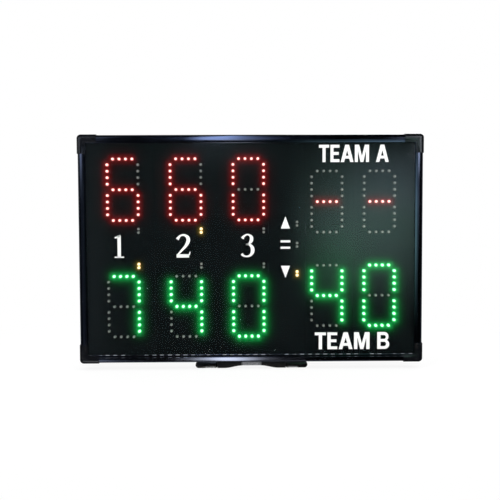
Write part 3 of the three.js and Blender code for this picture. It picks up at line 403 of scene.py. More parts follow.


# Painted highlight: a pale patch inside a box of the object's own X and Z, broken up by specks; all in
# millimetres
def addPaintedHighlightPatch(material, look):
    place = objectPlace(material)
    x, y, z = partsOf(material, place)
    share = ramp(material, noise(material, place, look["speck"], 3), *look["broken"])
    for axis, ends in ((x, look["x"]), (z, look["z"])):
        for edge, inward in zip(ends, (look["fade"], -look["fade"])):
            step = ramp(material, axis, (edge - inward) * mm, (edge + inward) * mm, kind="SMOOTHSTEP")
            share = product(material, share, step)
    shader = shaderOf(material)
    plain = shader.inputs["Base Color"].links[0].from_socket
    feed(material, shader, {"Base Color": mixColour(material, share, plain, look["shade"])})


# Aluminium sheet under black polyester powder: the orange peel that the coat flows into in the oven
powderCoat = grainSurface(
    "powder_coat_on_sheet", {"IOR": 1.5}, size=1.6, shades=("#17191b", "#232528"),
    rough=(0.36, 0.46), depth=0.09, patch=60)

# The same coat on the sheet's inner side, darker and matt as painted shade: it keeps the gaps between the
# boards as dark as they are
insideCoatShaded = grainSurface(
    "powder_coat_inside_painted_shade", {"IOR": 1.5, "Specular IOR Level": 0.05}, size=1.6,
    shades=("#030404", "#070808"), rough=(0.6, 0.7), depth=0.03, patch=60)

# Steel, pressed and zinc-plated: bright, with a faint cloudy spangle
zincSteel = grainSurface(
    "zinc_plated_steel", {"Metallic": 1}, size=3, shades=("#9ba0a6", "#d4d8dc"),
    rough=(0.22, 0.38), depth=0.004, patch=6)

# Brass, stamped and lightly tarnished
stampedBrass = grainSurface(
    "brass_stamped", {"Metallic": 1}, size=(0.8, 0.8, 3), shades=("#a5803c", "#d9ba74"),
    rough=(0.2, 0.35), depth=0.004, patch=4)

# Glass-epoxy board under black solder mask: the weave of the cloth, 0.6 mm, just reads in the gloss
blackMask = grainSurface(
    "solder_mask_black", {"IOR": 1.52, "Specular IOR Level": 0.08}, size=0.6,
    shades=("#050606", "#0b0d0d"), rough=(0.5, 0.6), depth=0.006, patch=30)

# The same board under green mask
greenMask = grainSurface(
    "solder_mask_green", {"IOR": 1.52}, size=0.6, shades=("#0d3a1e", "#1b5a31"),
    rough=(0.3, 0.4), depth=0.006, patch=30)

# PVC over copper: drawn smooth, soft gloss
drawnPvc = grainSurface(
    "pvc_lead_jacket", {"IOR": 1.53}, size=4, shades=("#101012", "#1d1d20"),
    rough=(0.35, 0.45), depth=0.01, patch=20)

# Flat ribbon, grey PVC darkened as painted shade so that it hides behind the gaps: ridges of its cores,
# 1.27 mm apart
ribbonPvc = grainSurface(
    "pvc_ribbon_grey", {"IOR": 1.53}, size=(30, 30, 1.27), shades=("#202224", "#303336"),
    rough=(0.45, 0.55), depth=0.1, patch=20)

# PET shrink sleeve, drawn tight over the cells: glossy with faint pulled wrinkles
shrinkSleeve = grainSurface(
    "pet_shrink_sleeve_blue", {"IOR": 1.57}, size=(2, 8, 8), shades=("#12418a", "#2464bd"),
    rough=(0.16, 0.26), depth=0.06, patch=25)

# Screen-printed white ink: dense and matt, a touch thinner in places
printedInk = grainSurface(
    "screen_ink_white", {"IOR": 1.48, "Specular IOR Level": 0.3}, size=0.5,
    shades=("#ececea", "#f7f7f5"), rough=(0.5, 0.6), depth=0.004, patch=10)
print("materials made")


# Frame: four mitred bars of one extrusion

barLook = {
    "bead": 11.0, "beadEdge": 0.4,  # outer part of the face, a little proud of the lip
    "crown": 3.0,  # degrees that the bead's face falls away by towards its outer edge
    "lipRecess": 0.8, "lipEdge": 0.5, "lip": 2.0,
    "edgeRadius": 6.0,  # front outer edge
    "wall": 1.8, "rimChamfer": 0.6,
    "ribFront": 5.6, "ribRear": 7.2, "ribReach": 12.0,
    "flangeWall": 1.8, "flangeReach": 14.0,
    "mitreGap": 0.2, "cornerTrim": 6.6,  # the mitre's tip is trimmed square, inside the corner cap
}
topLow, topHigh = boxOf("frame_top")
frontY = topLow.y
frameDepth = topHigh.y - topLow.y
faceWidth = topHigh.z - topLow.z
halfWidth, halfHeight = boxOf("frame_right")[1].x, topHigh.z
panelRear = frontY + frameDepth


def barSection():  # (depth, inward) from the bar's front and outer side
    look = barLook
    face, lip, wall, bead = faceWidth, look["lip"], look["wall"], look["bead"]
    beadEdge, lipEdge = look["beadEdge"], look["lipEdge"]
    recess, outer = look["lipRecess"], look["edgeRadius"]
    ribFront, ribRear, chamfer = look["ribFront"], look["ribRear"], look["rimChamfer"]
    crownRadius = (bead - outer) / math.sin(math.radians(look["crown"]))
    crownDepth = crownRadius * (1 - math.cos(math.radians(look["crown"])))
    flangeRear = boxOf("battery_clamp")[1].y - frontY  # the flange and the clamp's feet end level
    flangeFront = flangeRear - look["flangeWall"]
    return (
        arcPoints(crownRadius, -bead, crownRadius, 180 - look["crown"], 180, 6)[:-1]
        + arcPoints(beadEdge, beadEdge - bead, beadEdge, 180, 270, 4) + [(recess, -bead)]
        + arcPoints(recess + lipEdge, lipEdge - face, lipEdge, 180, 270, 5)
        + [(lip, -face), (lip, -wall), (ribFront, -wall), (ribFront, -look["ribReach"]),
           (ribRear, -look["ribReach"]), (ribRear, -wall), (flangeFront, -wall),
           (flangeFront, -look["flangeReach"]), (flangeRear, -look["flangeReach"]), (flangeRear, -wall),
           (frameDepth, -wall), (frameDepth, -chamfer), (frameDepth - chamfer, 0)]
        + arcPoints(outer + crownDepth, -outer, outer, 90, 180 - look["crown"], 16)[:-1])


def frameBar(side, length, degrees, x, z, finish=anodisedAluminium):
    half = length / 2
    ends = [[(end * min(half + inward - barLook["mitreGap"], half - barLook["cornerTrim"]), depth, inward)
             for depth, inward in barSection()] for end in (-1, 1)]
    addPiece("frame_bar_" + side, loft(ends), finish, "frame_anodised", ["frame_" + side],
             turn=placed(x, frontY, z, degrees))


frameBar("top", 2 * halfWidth, 0, 0, halfHeight)
frameBar("bottom", 2 * halfWidth, 180, 0, -halfHeight, dashHighlightedAluminium)
frameBar("right", 2 * halfHeight, 90, halfWidth, 0)
frameBar("left", 2 * halfHeight, -90, -halfWidth, 0)
print("frame made")


# Corner caps: a C-shaped wall swept round each corner

capLook = {
    "wall": 1.1, "cornerRadius": 8.0, "frontEdge": 6.0, "rearEdge": 2.0,
    "lipEdge": 0.4,  # free edges on the face and behind
    "hollowChamfer": 3.4,
    "faceReach": 15.4,  # how far it covers the frame's face
    "cornerSteps": 12,
}
capLow, capHigh = boxOf("corner_cap_top_right")
capSkin = capHigh.x - halfWidth  # the cap stands this proud of the frame
capArm = capHigh.x - capLow.x


def capSection():  # it follows the step between the frame's bead and lip
    look = capLook
    front, rear = -capSkin, frameDepth + capSkin
    wide, small, lip, reach = look["frontEdge"], look["rearEdge"], look["lipEdge"], look["faceReach"]
    bead, recess = barLook["bead"], barLook["lipRecess"]
    step, play, hollow = bead + capSkin, capSkin - look["wall"], look["hollowChamfer"]
    stepped = front + recess
    return (
        arcPoints(stepped + lip, lip - reach, lip, 270, 180, 3) + [(stepped, -step)]
        + arcPoints(front + lip, lip - step, lip, 270, 180, 3)
        + arcPoints(front + wide, capSkin - wide, wide, 180, 90, 14)
        + arcPoints(rear - small, capSkin - small, small, 90, 0, 6)
        + arcPoints(rear - lip, lip - reach, lip, 0, -90, 3)
        + [(frameDepth + play, -reach), (frameDepth + play, play), (hollow - play, play),
           (-play, play - hollow), (-play, -bead - play), (recess - play, -bead - play),
           (recess - play, -reach)])


def capMesh():
    centre = capSkin - capLook["cornerRadius"]
    armEnd = capSkin - capArm
    section = capSection()
    rings = [[(armEnd, depth, inward) for depth, inward in section]]
    for i in range(capLook["cornerSteps"] + 1):
        angle = math.radians(90 - 90 * i / capLook["cornerSteps"])
        ring = []
        for depth, inward in section:
            radius = max(inward - centre, 0)
            start = min(inward, centre)
            ring.append((start + radius * math.cos(angle), depth, start + radius * math.sin(angle)))
        rings.append(ring)
    rings.append([(inward, depth, armEnd) for depth, inward in section])
    return loft(rings)


cornerCap = capMesh()
caseCorners = {"top_right": (1, 1, 0), "bottom_right": (1, -1, 90), "bottom_left": (-1, -1, 180),
               "top_left": (-1, 1, 270)}
for place, (signX, signZ, degrees) in caseCorners.items():
    addMade("corner_cap_" + place, "moulded", cornerCap, mouldedAbs, "moulded_black",
            turn=placed(signX * halfWidth, frontY, signZ * halfHeight, degrees), edge=0.35)
print("corner caps made")


# Lamps: where they stand is read from the tips of the boards' own lamps

lampLook = {
    "radius": 2.5, "flangeRadius": 2.9, "flangeHeight": 1.0, "domeHeight": 2.5, "sides": 16, "domeSteps": 5,
    "tipDepth": 0.05,  # points this near to the frontmost one are a lamp's tip
}
digitLook = {"markersFrom": 2.2, "barsWithin": 0.9}  # from a digit's middle, in halves of its width
displays = {
    "home": {"set1": "6", "set2": "6", "set3": "0", "game_tens": "-", "game_units": "-"},
    "guest": {"set1": "7", "set2": "4", "set3": "0", "game_tens": "4", "game_units": "0"},
}
segmentsLit = {"0": "abcdef", "4": "bcfg", "6": "acdefg", "7": "abc", "-": "g"}
markersLit = {"home": "set2", "guest": "set1"}
teamLamp = {"home": "red", "guest": "green"}


def lampPlaces(node):
    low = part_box(node)[0].y
    tips = {(round(v.co.x / mm, 2), round(v.co.z / mm, 2))
            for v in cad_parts[node].data.vertices if v.co.y < low + lampLook["tipDepth"] * mm}
    return sorted(tips)


# Segment letter of a lamp at (x, z) from its digit's middle, or None for a marker lamp
def segmentOf(x, z, digitHalf):
    if abs(z) > digitLook["markersFrom"] * digitHalf:
        return None
    if abs(x) < digitLook["barsWithin"] * digitHalf:
        return "d" if z < -digitHalf else "a" if z > digitHalf else "g"
    return ("b" if z > 0 else "c") if x > 0 else ("f" if z > 0 else "e")


def digitLamps(team, digit):
    node = f"{team}_{digit}_board"
    places = lampPlaces(node)
    left, right = places[0][0], places[-1][0]
    middleX, middleZ = (left + right) / 2, statistics.median([z for x, z in places])
    lamps = []
    for x, z in places:
        segment = segmentOf(x - middleX, z - middleZ, (right - left) / 2)
        if segment is None:
            kind = "amber" if markersLit[team] == digit else "unlit"
        else:
            kind = teamLamp[team] if segment in segmentsLit[displays[team][digit]] else "unlit"
        lamps.append((x, z, kind))
    return node, lamps


boards = dict(digitLamps(team, digit) for team in displays for digit in displays[team])
servePlaces = sorted(lampPlaces("serve_board"), key=lambda place: place[1])
boards["serve_board"] = [(x, z, "amber" if i < 2 else "unlit") for i, (x, z) in enumerate(servePlaces)]
litLamps = [lamp for lamps in boards.values() for lamp in lamps if lamp[2] != "unlit"]
print("lamps:", sum(len(lamps) for lamps in boards.values()), "of which lit:", len(litLamps))

# Lens of a lamp, cast clear epoxy. The mesh holds each point's reach from the lens's middle
epoxyLook = {"Roughness": 0.12, "IOR": 1.53}


# Unlit: a grey bead whose dome catches two small highlights
def clearEpoxy():
    material = newMaterial("led_epoxy_cast", {**epoxyLook, "Coat Weight": 0.4, "Coat Roughness": 0.05})
    reach = heldValue(material, "reach")
    feed(material, shaderOf(material), {"Base Color": mixColour(material, reach, "#d8dcd2", "#90958e")})
    return material


# Lit: so bright at the heart that it burns out, and pure in colour at its rim
def litEpoxy(name, heart, rim, strength):
    material = newMaterial(name, {**epoxyLook, "Base Color": rim, "Emission Strength": strength})
    edge = ramp(material, heldValue(material, "reach"), 0.68, 1.0)
    feed(material, shaderOf(material), {"Emission Color": mixColour(material, edge, heart, rim)})
    return material


lampMaterials = {
    "unlit": clearEpoxy(),
    "red": litEpoxy("led_epoxy_lit_red", "#ffdcd4", "#b40e0a", 2.7),
    "green": litEpoxy("led_epoxy_lit_green", "#ccffdc", "#2ee27c", 3.0),
    "amber": litEpoxy("led_epoxy_lit_amber", "#fff0cc", "#f4c878", 2.1),
}
lampKinds = list(lampMaterials)


def lampProfile(tip, foot):  # from the dome, without its tip, to the flange
    look = lampLook
    radius, flange, top = look["radius"], look["flangeRadius"], foot - look["flangeHeight"]
    dome = arcPoints(0, tip + look["domeHeight"], radius, -90, 0, look["domeSteps"], look["domeHeight"])
    return dome[1:] + [(radius, top), (flange, top), (flange, foot)]


def lampCluster(lamps, tip, foot):
    sides = lampLook["sides"]
    points, faces, kinds, reach = [], [], [], []
    for x, z, kind in lamps:
        first = len(points)
        points.append((x, tip, z))
        reach.append(0)
        for radius, depth in lampProfile(tip, foot):
            points += [(px, depth, pz) for px, pz in circle(x, z, radius, sides)]
            reach += [radius / lampLook["flangeRadius"]] * sides
        rows = range(first + 1, len(points), sides)
        for j, k in pairsRound(sides):
            faces.append((first, first + 1 + j, first + 1 + k))
            faces += [(row + j, row + sides + j, row + sides + k, row + k) for row in rows[:-1]]
        faces.append(tuple(rows[-1] + j for j in range(sides)))
        kinds += [lampKinds.index(kind)] * (len(faces) - len(kinds))
    mesh = rawMesh(points, faces)
    for kind in lampKinds:
        mesh.materials.append(lampMaterials[kind])
    mesh.polygons.foreach_set("material_index", kinds)
    mesh.attributes.new("reach", "FLOAT", "POINT").data.foreach_set("value", reach)
    return edited(mesh)


boardLook = {"thickness": 1.6, "corner": 0.8, "edge": 0.15, "headerCorner": 0.4, "headerEdge": 0.2}
boardRear = boxOf("serve_board")[1].y
boardFront = boardRear - boardLook["thickness"]


def bareBoard(node):
    look = boardLook
    low, high = boxOf(node)
    outline = roundedBox(low.x, high.x, low.z, high.z, look["corner"])
    shells = [plate([outline], boardFront, boardRear, look["edge"], 1)]
    behind = [v.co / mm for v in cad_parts[node].data.vertices if v.co.y / mm > boardRear + 1]
    if behind:  # this board's header stands behind it
        xs, zs = [c.x for c in behind], [c.z for c in behind]
        outline = roundedBox(min(xs), max(xs), min(zs), max(zs), look["headerCorner"])
        shells.append(plate([outline], boardRear, high.y, look["headerEdge"], 1))
    return joined(shells)


for node, lamps in boards.items():
    addMade(node, "bare", bareBoard(node), blackMask, "board_black", sharp=12)
    addPiece(node.replace("board", "lamps"), lampCluster(lamps, boxOf(node)[0].y, boardFront),
             lampMaterials["unlit"], "board_black", sharp=50)
print("boards and lamps made")


# Window: one smoked sheet, with a painted glow round each lit lamp, held per point as emission

windowLook = {
    "corner": 2.0, "edge": 0.25, "ringRadii": (1.3, 2.3, 3.2, 4.2, 5.4), "ringSteps": 12, "grid": 6.0,
    "paintedGlowReach": 30.0,  # lamps further away than this add nothing to the painted glow
    "merge": 0.3,
}
# Each lamp's painted glow: for red, green and blue, pairs of (strength, radius in mm)
paintedGlowOf = {
    "red": (((0.62, 3.0), (0.3, 7.2), (0.006, 22.0)), ((0.4, 2.0),), ((0.35, 2.0),)),
    "green": (((0.4, 2.6),), ((1.7, 3.6), (0.46, 7.0), (0.1, 13.0), (0.0016, 24.0)),
              ((0.5, 3.2), (0.1, 6.0), (0.016, 13.0), (0.0006, 24.0))),
    "amber": (((0.8, 3.2), (0.1, 6.0)), ((0.62, 3.1), (0.075, 6.0)), ((0.2, 2.4),)),
}


def paintedGlowAt(x, z):
    total = [0.0, 0.0, 0.0]
    for lampX, lampZ, kind in litLamps:
        away = (x - lampX) ** 2 + (z - lampZ) ** 2
        if away <= windowLook["paintedGlowReach"] ** 2:
            for channel, terms in enumerate(paintedGlowOf[kind]):
                total[channel] += sum(light * math.exp(-away / radius ** 2) for light, radius in terms)
    return total


def windowSpots(low, high):  # points that the painted glow is worked out at: rings round lit lamps, and a grid
    look = windowLook
    grid = look["grid"]
    spots = []
    for x, z, kind in litLamps:
        spots.append((x, z))
        for number, radius in enumerate(look["ringRadii"]):
            spots += circle(x, z, radius, look["ringSteps"], 180 / look["ringSteps"] * (number % 2))
    for i in range(1, int((high.x - low.x) / grid)):
        for j in range(1, int((high.z - low.z) / grid)):
            spots.append((low.x + i * grid, low.z + j * grid))
    return spots


def windowMesh():
    cut, edge = windowLook["corner"], windowLook["edge"]
    low, high = boxOf("front_window")
    rim = [(high.x - cut, low.z), (high.x, low.z + cut), (high.x, high.z - cut), (high.x - cut, high.z),
           (low.x + cut, high.z), (low.x, high.z - cut), (low.x, low.z + cut), (low.x + cut, low.z)]
    inset = [(x - math.copysign(edge, x), z - math.copysign(edge, z)) for x, z in rim]
    border = pairsRound(len(rim))
    spots = [Vector(spot) for spot in inset + windowSpots(low, high)]
    found = delaunay_2d_cdt(spots, border, [], 1, windowLook["merge"])
    flat, triangles = found[0], found[2]
    points = [(p.x, high.y, p.y) for p in flat]
    faces = [tuple(reversed(triangle)) for triangle in triangles]
    rows = [[min(range(len(flat)), key=lambda i: (flat[i] - Vector(corner)).length) for corner in inset]]
    for outline, depth in ((rim, high.y - edge), (rim, low.y + edge), (inset, low.y)):
        rows.append(list(range(len(points), len(points) + len(rim))))
        points += [(x, depth, z) for x, z in outline]
    faces += [(near[i], near[k], far[k], far[i]) for near, far in zip(rows, rows[1:]) for i, k in border]
    faces.append(tuple(rows[-1]))
    painted_glow = [paintedGlowAt(p.x, p.y) for p in flat] + [[0, 0, 0]] * (len(points) - len(flat))
    mesh = rawMesh(points, faces)
    held = mesh.attributes.new("painted_glow", "FLOAT_COLOR", "POINT")
    held.data.foreach_set("color", [value for colour in painted_glow for value in (*colour, 1.0)])
    return edited(mesh)


# Acrylic sheet, cast between glass plates and tinted like smoke: a deep black gloss, clear enough for
# the lamps behind to show. Wiping cloths have left its roughness cloudy
def smokedAcrylic():
    material = newMaterial("acrylic_cast_smoked", {
        "Base Color": "#131d1f", "IOR": 1.49, "Alpha": 0.22, "Specular IOR Level": 1.0,
        "Emission Strength": 2.4})
    wiped = noise(material, objectPlace(material), 70, 5, Distortion=1.2)
    # Its emission is the painted glow round the lit lamps, held by the mesh
    feed(material, shaderOf(material), {
        "Emission Color": heldValue(material, "painted_glow", "Color"),
        "Roughness": ramp(material, wiped, 0.35, 0.7, 0.02, 0.07)})
    return material


addMade("front_window", "smoked", windowMesh(), smokedAcrylic(), "smoked_acrylic")
print("window made")


# Printed marks on the window's face: words and signs that any scoreboard may carry

markLook = {
    "thickness": 0.06, "merge": 0.01,
    "words": {"TEAM A": (203.5, 188.5, 138, 34), "TEAM B": (201, -184, 149, 34)},  # middle, width, height
    "stem": 0.21, "bar": 0.17, "letterGap": 0.09, "wordSpace": 0.3,  # as shares of the letters' height
    "numeralWeight": 1.2, "numeralHeight": 46.0,
    "numerals": {"1": (-260.2, 7.4), "2": (-134.0, 7.4), "3": (-7.3, 7.4)},
    "signHeight": 24.0, "signX": 68.0,
    "signs": {"up": 52.8, "level": 9.0, "down": -45.3},
}
windowFace = boxOf("front_window")[0].y


def thickened(mesh):  # gives a flat print its film of ink, from the window's face outwards
    def grow(work):
        bmesh.ops.triangulate(work, faces=list(work.faces))
        bmesh.ops.remove_doubles(work, verts=work.verts, dist=markLook["merge"] * mm)
        for part in bmesh.ops.extrude_face_region(work, geom=list(work.faces))["geom"]:
            if isinstance(part, bmesh.types.BMVert):
                part.co.y -= markLook["thickness"] * mm
    return edited(mesh, grow)


def flatShape(outlines):
    return joined([
        thickened(rawMesh([(x, windowFace, z) for x, z in outline], [tuple(range(len(outline)))]))
        for outline in outlines])


# Width, outer outline and counters of each letter, on a height of 1

def letterT(stem, bar):
    width = 0.7
    left, right = (width - stem) / 2, (width + stem) / 2
    return width, [[(0, 1 - bar), (0, 1), (width, 1), (width, 1 - bar), (right, 1 - bar), (right, 0),
                    (left, 0), (left, 1 - bar)]]


def letterE(stem, bar):
    width, short, low, high = 0.62, 0.57, 0.5 - bar / 2, 0.5 + bar / 2
    return width, [[(0, 0), (0, 1), (width, 1), (width, 1 - bar), (stem, 1 - bar), (stem, high),
                    (short, high), (short, low), (stem, low), (stem, bar), (width, bar), (width, 0)]]


def letterA(stem, bar):
    width, apex, foot, low = 0.88, 0.13, stem * 1.1, 0.2
    lean = width / 2 - apex
    high, peak = low + bar * 0.95, (width / 2 - foot) / lean
    return width, [
        [(0, 0), (lean, 1), (width - lean, 1), (width, 0), (width - foot, 0),
         (width - foot - lean * low, low), (foot + lean * low, low), (foot, 0)],
        [(foot + lean * high, high), (width / 2, peak), (width - foot - lean * high, high)]]


def letterM(stem, bar):
    width, shoulder, valley, notch, fork = 0.98, stem * 1.4, 0.34, 0.1, 0.68
    middle = width / 2
    return width, [[(0, 0), (0, 1), (shoulder, 1), (middle, valley), (width - shoulder, 1), (width, 1),
                    (width, 0), (width - stem, 0), (width - stem, fork), (middle + notch, 0),
                    (middle - notch, 0), (stem, fork), (stem, 0)]]


def letterB(stem, bar):
    width, bowl, upperSize, lowerSize = 0.76, 0.46, 0.26, 0.28
    upper = arcPoints(bowl, 1 - upperSize, width - 0.05 - bowl, 90, -58, 14, upperSize)
    lower = arcPoints(bowl, lowerSize, width - bowl, 62, -90, 16, lowerSize)
    counters = [
        [(stem, middle - half)] + arcPoints(0.43, middle, half, -90, 90, 10) + [(stem, middle + half)]
        for middle, half in ((0.71, 0.115), (0.295, 0.13))]
    return width, [[(0, 0), (0, 1)] + upper + lower] + counters


letters = {"T": letterT, "E": letterE, "A": letterA, "M": letterM, "B": letterB}


def wordMesh(text, x, z, width, height):
    outlines, reach = [], 0
    for letter in text:
        letterWidth, shapes = markLook["wordSpace"], []
        if letter != " ":
            letterWidth, shapes = letters[letter](markLook["stem"], markLook["bar"])
        outlines += [[(reach + px, pz) for px, pz in shape] for shape in shapes]
        reach += letterWidth + markLook["letterGap"]
    reach -= markLook["letterGap"]
    sized = [[((px / reach - 0.5) * width, (pz - 0.5) * height) for px, pz in outline]
             for outline in outlines]
    mesh = solidMesh(filledCurve(sized))
    mesh.transform(placed(x, windowFace, z, 90, "X"))
    return thickened(mesh)


# Broad-nib stroke along points of (x, z, width)
def stroke(points, steps):
    path = []
    count = len(points)
    for i in range(count - 1):
        near = [points[min(max(i + step, 0), count - 1)] for step in (-1, 0, 1, 2)]
        for t in (k / steps for k in range(steps)):
            path.append(tuple(
                0.5 * (2 * b + (c - a) * t + (2 * a - 5 * b + 4 * c - d) * t * t
                       + (3 * b - a - 3 * c + d) * t ** 3) for a, b, c, d in zip(*near)))
    path.append(points[-1])
    left, right = [], []
    for i, (x, z, width) in enumerate(path):
        ahead, behind = path[min(i + 1, len(path) - 1)], path[max(i - 1, 0)]
        along = Vector((ahead[0] - behind[0], ahead[1] - behind[1])).normalized() * width / 2
        left.append((x - along.y, z + along.x))
        right.append((x + along.y, z - along.x))
    return left + right[::-1]


# Numerals with serifs, on a height of 1 with the middle at (0, 0): strokes and their steps
numeralStrokes = {
    "1": [
        ([(-0.02, -0.49, 0.12), (-0.02, 0.46, 0.12)], 1),
        ([(-0.21, 0.36, 0.05), (-0.12, 0.38, 0.06), (0.03, 0.46, 0.05)], 6),
        ([(-0.22, -0.48, 0.045), (0.18, -0.48, 0.045)], 1),
    ],
    "2": [
        ([(-0.26, 0.28, 0.13), (-0.22, 0.34, 0.09), (-0.12, 0.44, 0.06), (0.04, 0.46, 0.07),
          (0.18, 0.36, 0.12), (0.2, 0.2, 0.13), (0.1, 0.0, 0.1), (-0.08, -0.2, 0.07),
          (-0.26, -0.4, 0.05)], 8),
        ([(-0.3, -0.435, 0.12), (0.24, -0.435, 0.12)], 1),
        ([(0.2, -0.42, 0.05), (0.25, -0.36, 0.05), (0.28, -0.26, 0.03)], 6),
    ],
    "3": [
        ([(-0.22, 0.3, 0.11), (-0.17, 0.38, 0.08), (-0.06, 0.46, 0.055), (0.06, 0.46, 0.06),
          (0.17, 0.36, 0.11), (0.16, 0.2, 0.12), (0.06, 0.08, 0.06), (-0.06, 0.05, 0.05)], 8),
        ([(-0.06, 0.05, 0.05), (0.08, 0.04, 0.07), (0.2, -0.08, 0.12), (0.22, -0.26, 0.13),
          (0.12, -0.42, 0.08), (-0.04, -0.47, 0.055), (-0.18, -0.43, 0.07), (-0.25, -0.36, 0.1)], 8),
    ],
}


def numeralMesh(numeral, x, z):
    height = markLook["numeralHeight"]
    outlines = []
    for points, steps in numeralStrokes[numeral]:
        outline = stroke([(px, pz, width * markLook["numeralWeight"]) for px, pz, width in points], steps)
        outlines.append([(x + px * height, z + pz * height) for px, pz in outline])
    return flatShape(outlines)


# Outlines of each sign, on half a height of 1
signOutlines = {
    "up": [[(-0.75, -1), (0.75, -1), (0, 1)]],
    "level": [[(-0.8, low), (0.8, low), (0.8, low + 0.35), (-0.8, low + 0.35)] for low in (0.35, -0.7)],
    "down": [[(-0.75, 1), (0.75, 1), (0, -1)]],
}


def signMesh(kind, x, z):
    half = markLook["signHeight"] / 2
    return flatShape([[(x + px * half, z + pz * half) for px, pz in outline]
                      for outline in signOutlines[kind]])


def addPrint(name, mesh):
    addPiece("print_" + name, mesh, printedInk, "smoked_acrylic")


for text, place in markLook["words"].items():
    addPrint(text.replace(" ", "_").lower(), wordMesh(text, *place))
for numeral, place in markLook["numerals"].items():
    addPrint("set_" + numeral, numeralMesh(numeral, *place))
for kind, z in markLook["signs"].items():
    addPrint("sign_" + kind, signMesh(kind, markLook["signX"], z))
print("printed marks made")


# Handle: rubber strap, bowed up in its middle, with a moulded cap over each end

strapLook = {
    "edge": 1.3, "padEdge": 3.0, "topEdge": 0.8,  # roundings along it: outside the pad, at the pad, above
    "padFade": 6.0,
    "flat": 38.0, "arch": 108.0, "drop": 8.2,  # level stretch, whole arch, and the middle's underside
    "steps": 36, "tongueSide": 11.0, "tongueRise": 2.1, "tongueThickness": 4.2, "tongueEdge": 0.8,
    "slotWidth": 5.8, "slotLength": 14.0,
}
handleLook = {
    "edge": 2.2, "mouthRadius": 3.0, "mouthEdge": 0.6, "pocketPlay": 0.3, "boreRadius": 5.2,
    "boreDepth": 1.4, "landLength": 20.0, "landChamfer": 3.6,
    "cutBeyond": 2.0,  # how far a cutter reaches past what it cuts
}
strapLow, strapHigh = boxOf("handle_strap")
rightCapLow, rightCapHigh = boxOf("handle_cap_right")
handleMiddleY = (strapLow.y + strapHigh.y) / 2
handleBase = rightCapLow.z
strapMouth = rightCapLow.x - handleLook["pocketPlay"]
tongueLow = handleBase + strapLook["tongueRise"]
tongueHigh = tongueLow + strapLook["tongueThickness"]
handleScrewX = middleOf("handle_screw_right").x
landX = (handleScrewX - handleLook["landLength"] / 2, handleScrewX + handleLook["landLength"] / 2)


def eased(share):
    share = min(max(share, 0), 1)
    return share * share * (3 - 2 * share)


def tongueOutline(play=0):
    side = strapLook["tongueSide"] + play
    return roundedBox(handleMiddleY - side, handleMiddleY + side, tongueLow - play, tongueHigh + play,
                      strapLook["tongueEdge"])


def strapMesh():
    look, beyond = strapLook, handleLook["cutBeyond"]
    half, fade, over = look["flat"] / 2, look["padFade"], look["topEdge"]
    front, rear, top = strapLow.y, strapHigh.y, strapHigh.z
    rings = []
    for i in range(-look["steps"], look["steps"] + 1):
        x = strapMouth * i / look["steps"]
        share = eased((abs(x) - half) / (look["arch"] / 2 - half))
        low = -halfHeight - look["drop"] + share * (handleBase + halfHeight + look["drop"])
        pad = eased((half + fade / 2 - abs(x)) / fade)
        under = look["edge"] + (look["padEdge"] - look["edge"]) * pad
        ring = (arcPoints(rear - over, top - over, over, 0, 90, 3)
                + arcPoints(front + over, top - over, over, 90, 180, 3)
                + arcPoints(front + under, low + under, under, 180, 270, 7)
                + arcPoints(rear - under, low + under, under, 270, 360, 7))
        rings.append([(x, y, z) for y, z in ring])
    shells = [loft(rings)]
    width = look["slotWidth"] / 2
    near = handleScrewX + look["slotWidth"] - look["slotLength"]
    slot = roundedBox(near - width, handleScrewX + width, handleMiddleY - width, handleMiddleY + width,
                      width * 0.98)
    for side in (-1, 1):
        tongue = prism(tongueOutline(), 0, (side * (strapMouth - 1), side * strapHigh.x))
        cutter = prism([(side * x, y) for x, y in slot], 2, (tongueLow - beyond, tongueHigh + beyond))
        shells.append(cutBy(tongue, [cutter]))
    return joined(shells)


# End cap as it lies at the strap's right end
def handleCapMesh():
    look = handleLook
    mouth, nose = rightCapLow.x, rightCapHigh.x
    low, high = rightCapLow.z, rightCapHigh.z
    front, rear = rightCapLow.y, rightCapHigh.y
    tall, rounding, edge = (high - low) / 2, look["mouthRadius"], look["mouthEdge"]
    outline = (
        arcPoints(mouth + rounding, low + rounding, rounding, 180, 270, 6)
        + arcPoints(nose - tall, (low + high) / 2, tall, -90, 90, 16)
        + arcPoints(mouth + edge, high - edge, edge, 90, 180, 3))
    body = plate([outline], front, rear, look["edge"], 4)
    play, beyond, chamfer = look["pocketPlay"], look["cutBeyond"], look["landChamfer"]
    cutters = [
        prism(tongueOutline(play), 0, (mouth - beyond, strapHigh.x + play)),
        prism(circle(handleScrewX, handleMiddleY, look["boreRadius"], 32), 2,
              (low - beyond, low + look["boreDepth"]))]
    for side, outward in ((front, -1), (rear, 1)):
        wedge = [(side - outward * chamfer, low), (side - outward * chamfer, low - 1),
                 (side + outward, low - 1), (side + outward, low + chamfer), (side, low + chamfer)]
        cutters.append(prism(wedge, 0, landX))
    return cutBy(body, cutters)


# Painted highlights: a pale patch at the grip's middle, and on the lands that the board stands on
addPaintedHighlightPatch(mouldedRubber, {
    "x": (-19.0, 19.0), "z": (strapLow.z - 1, strapHigh.z + 1), "fade": 3.0, "speck": 2.5,
    "broken": (0.1, 0.5), "shade": "#8d8e92"})
addPaintedHighlightPatch(mouldedNylon, {
    "x": landX, "z": (handleBase - 1, handleBase + handleLook["landChamfer"] - 0.6), "fade": 0.6,
    "speck": 3.5, "broken": (0.3, 0.65), "shade": "#a5a6a8"})
rightCap = handleCapMesh()
addMade("handle_strap", "moulded", strapMesh(), mouldedRubber, "black_rubber")
for place, degrees in (("right", 0), ("left", 180)):
    turn = placed(0, handleMiddleY, 0, degrees, "Z") @ placed(0, -handleMiddleY, 0)
    addMade("handle_cap_" + place, "moulded", rightCap, mouldedNylon, "moulded_black", turn=turn)
print("handle made")


# Back panel and the screws from behind

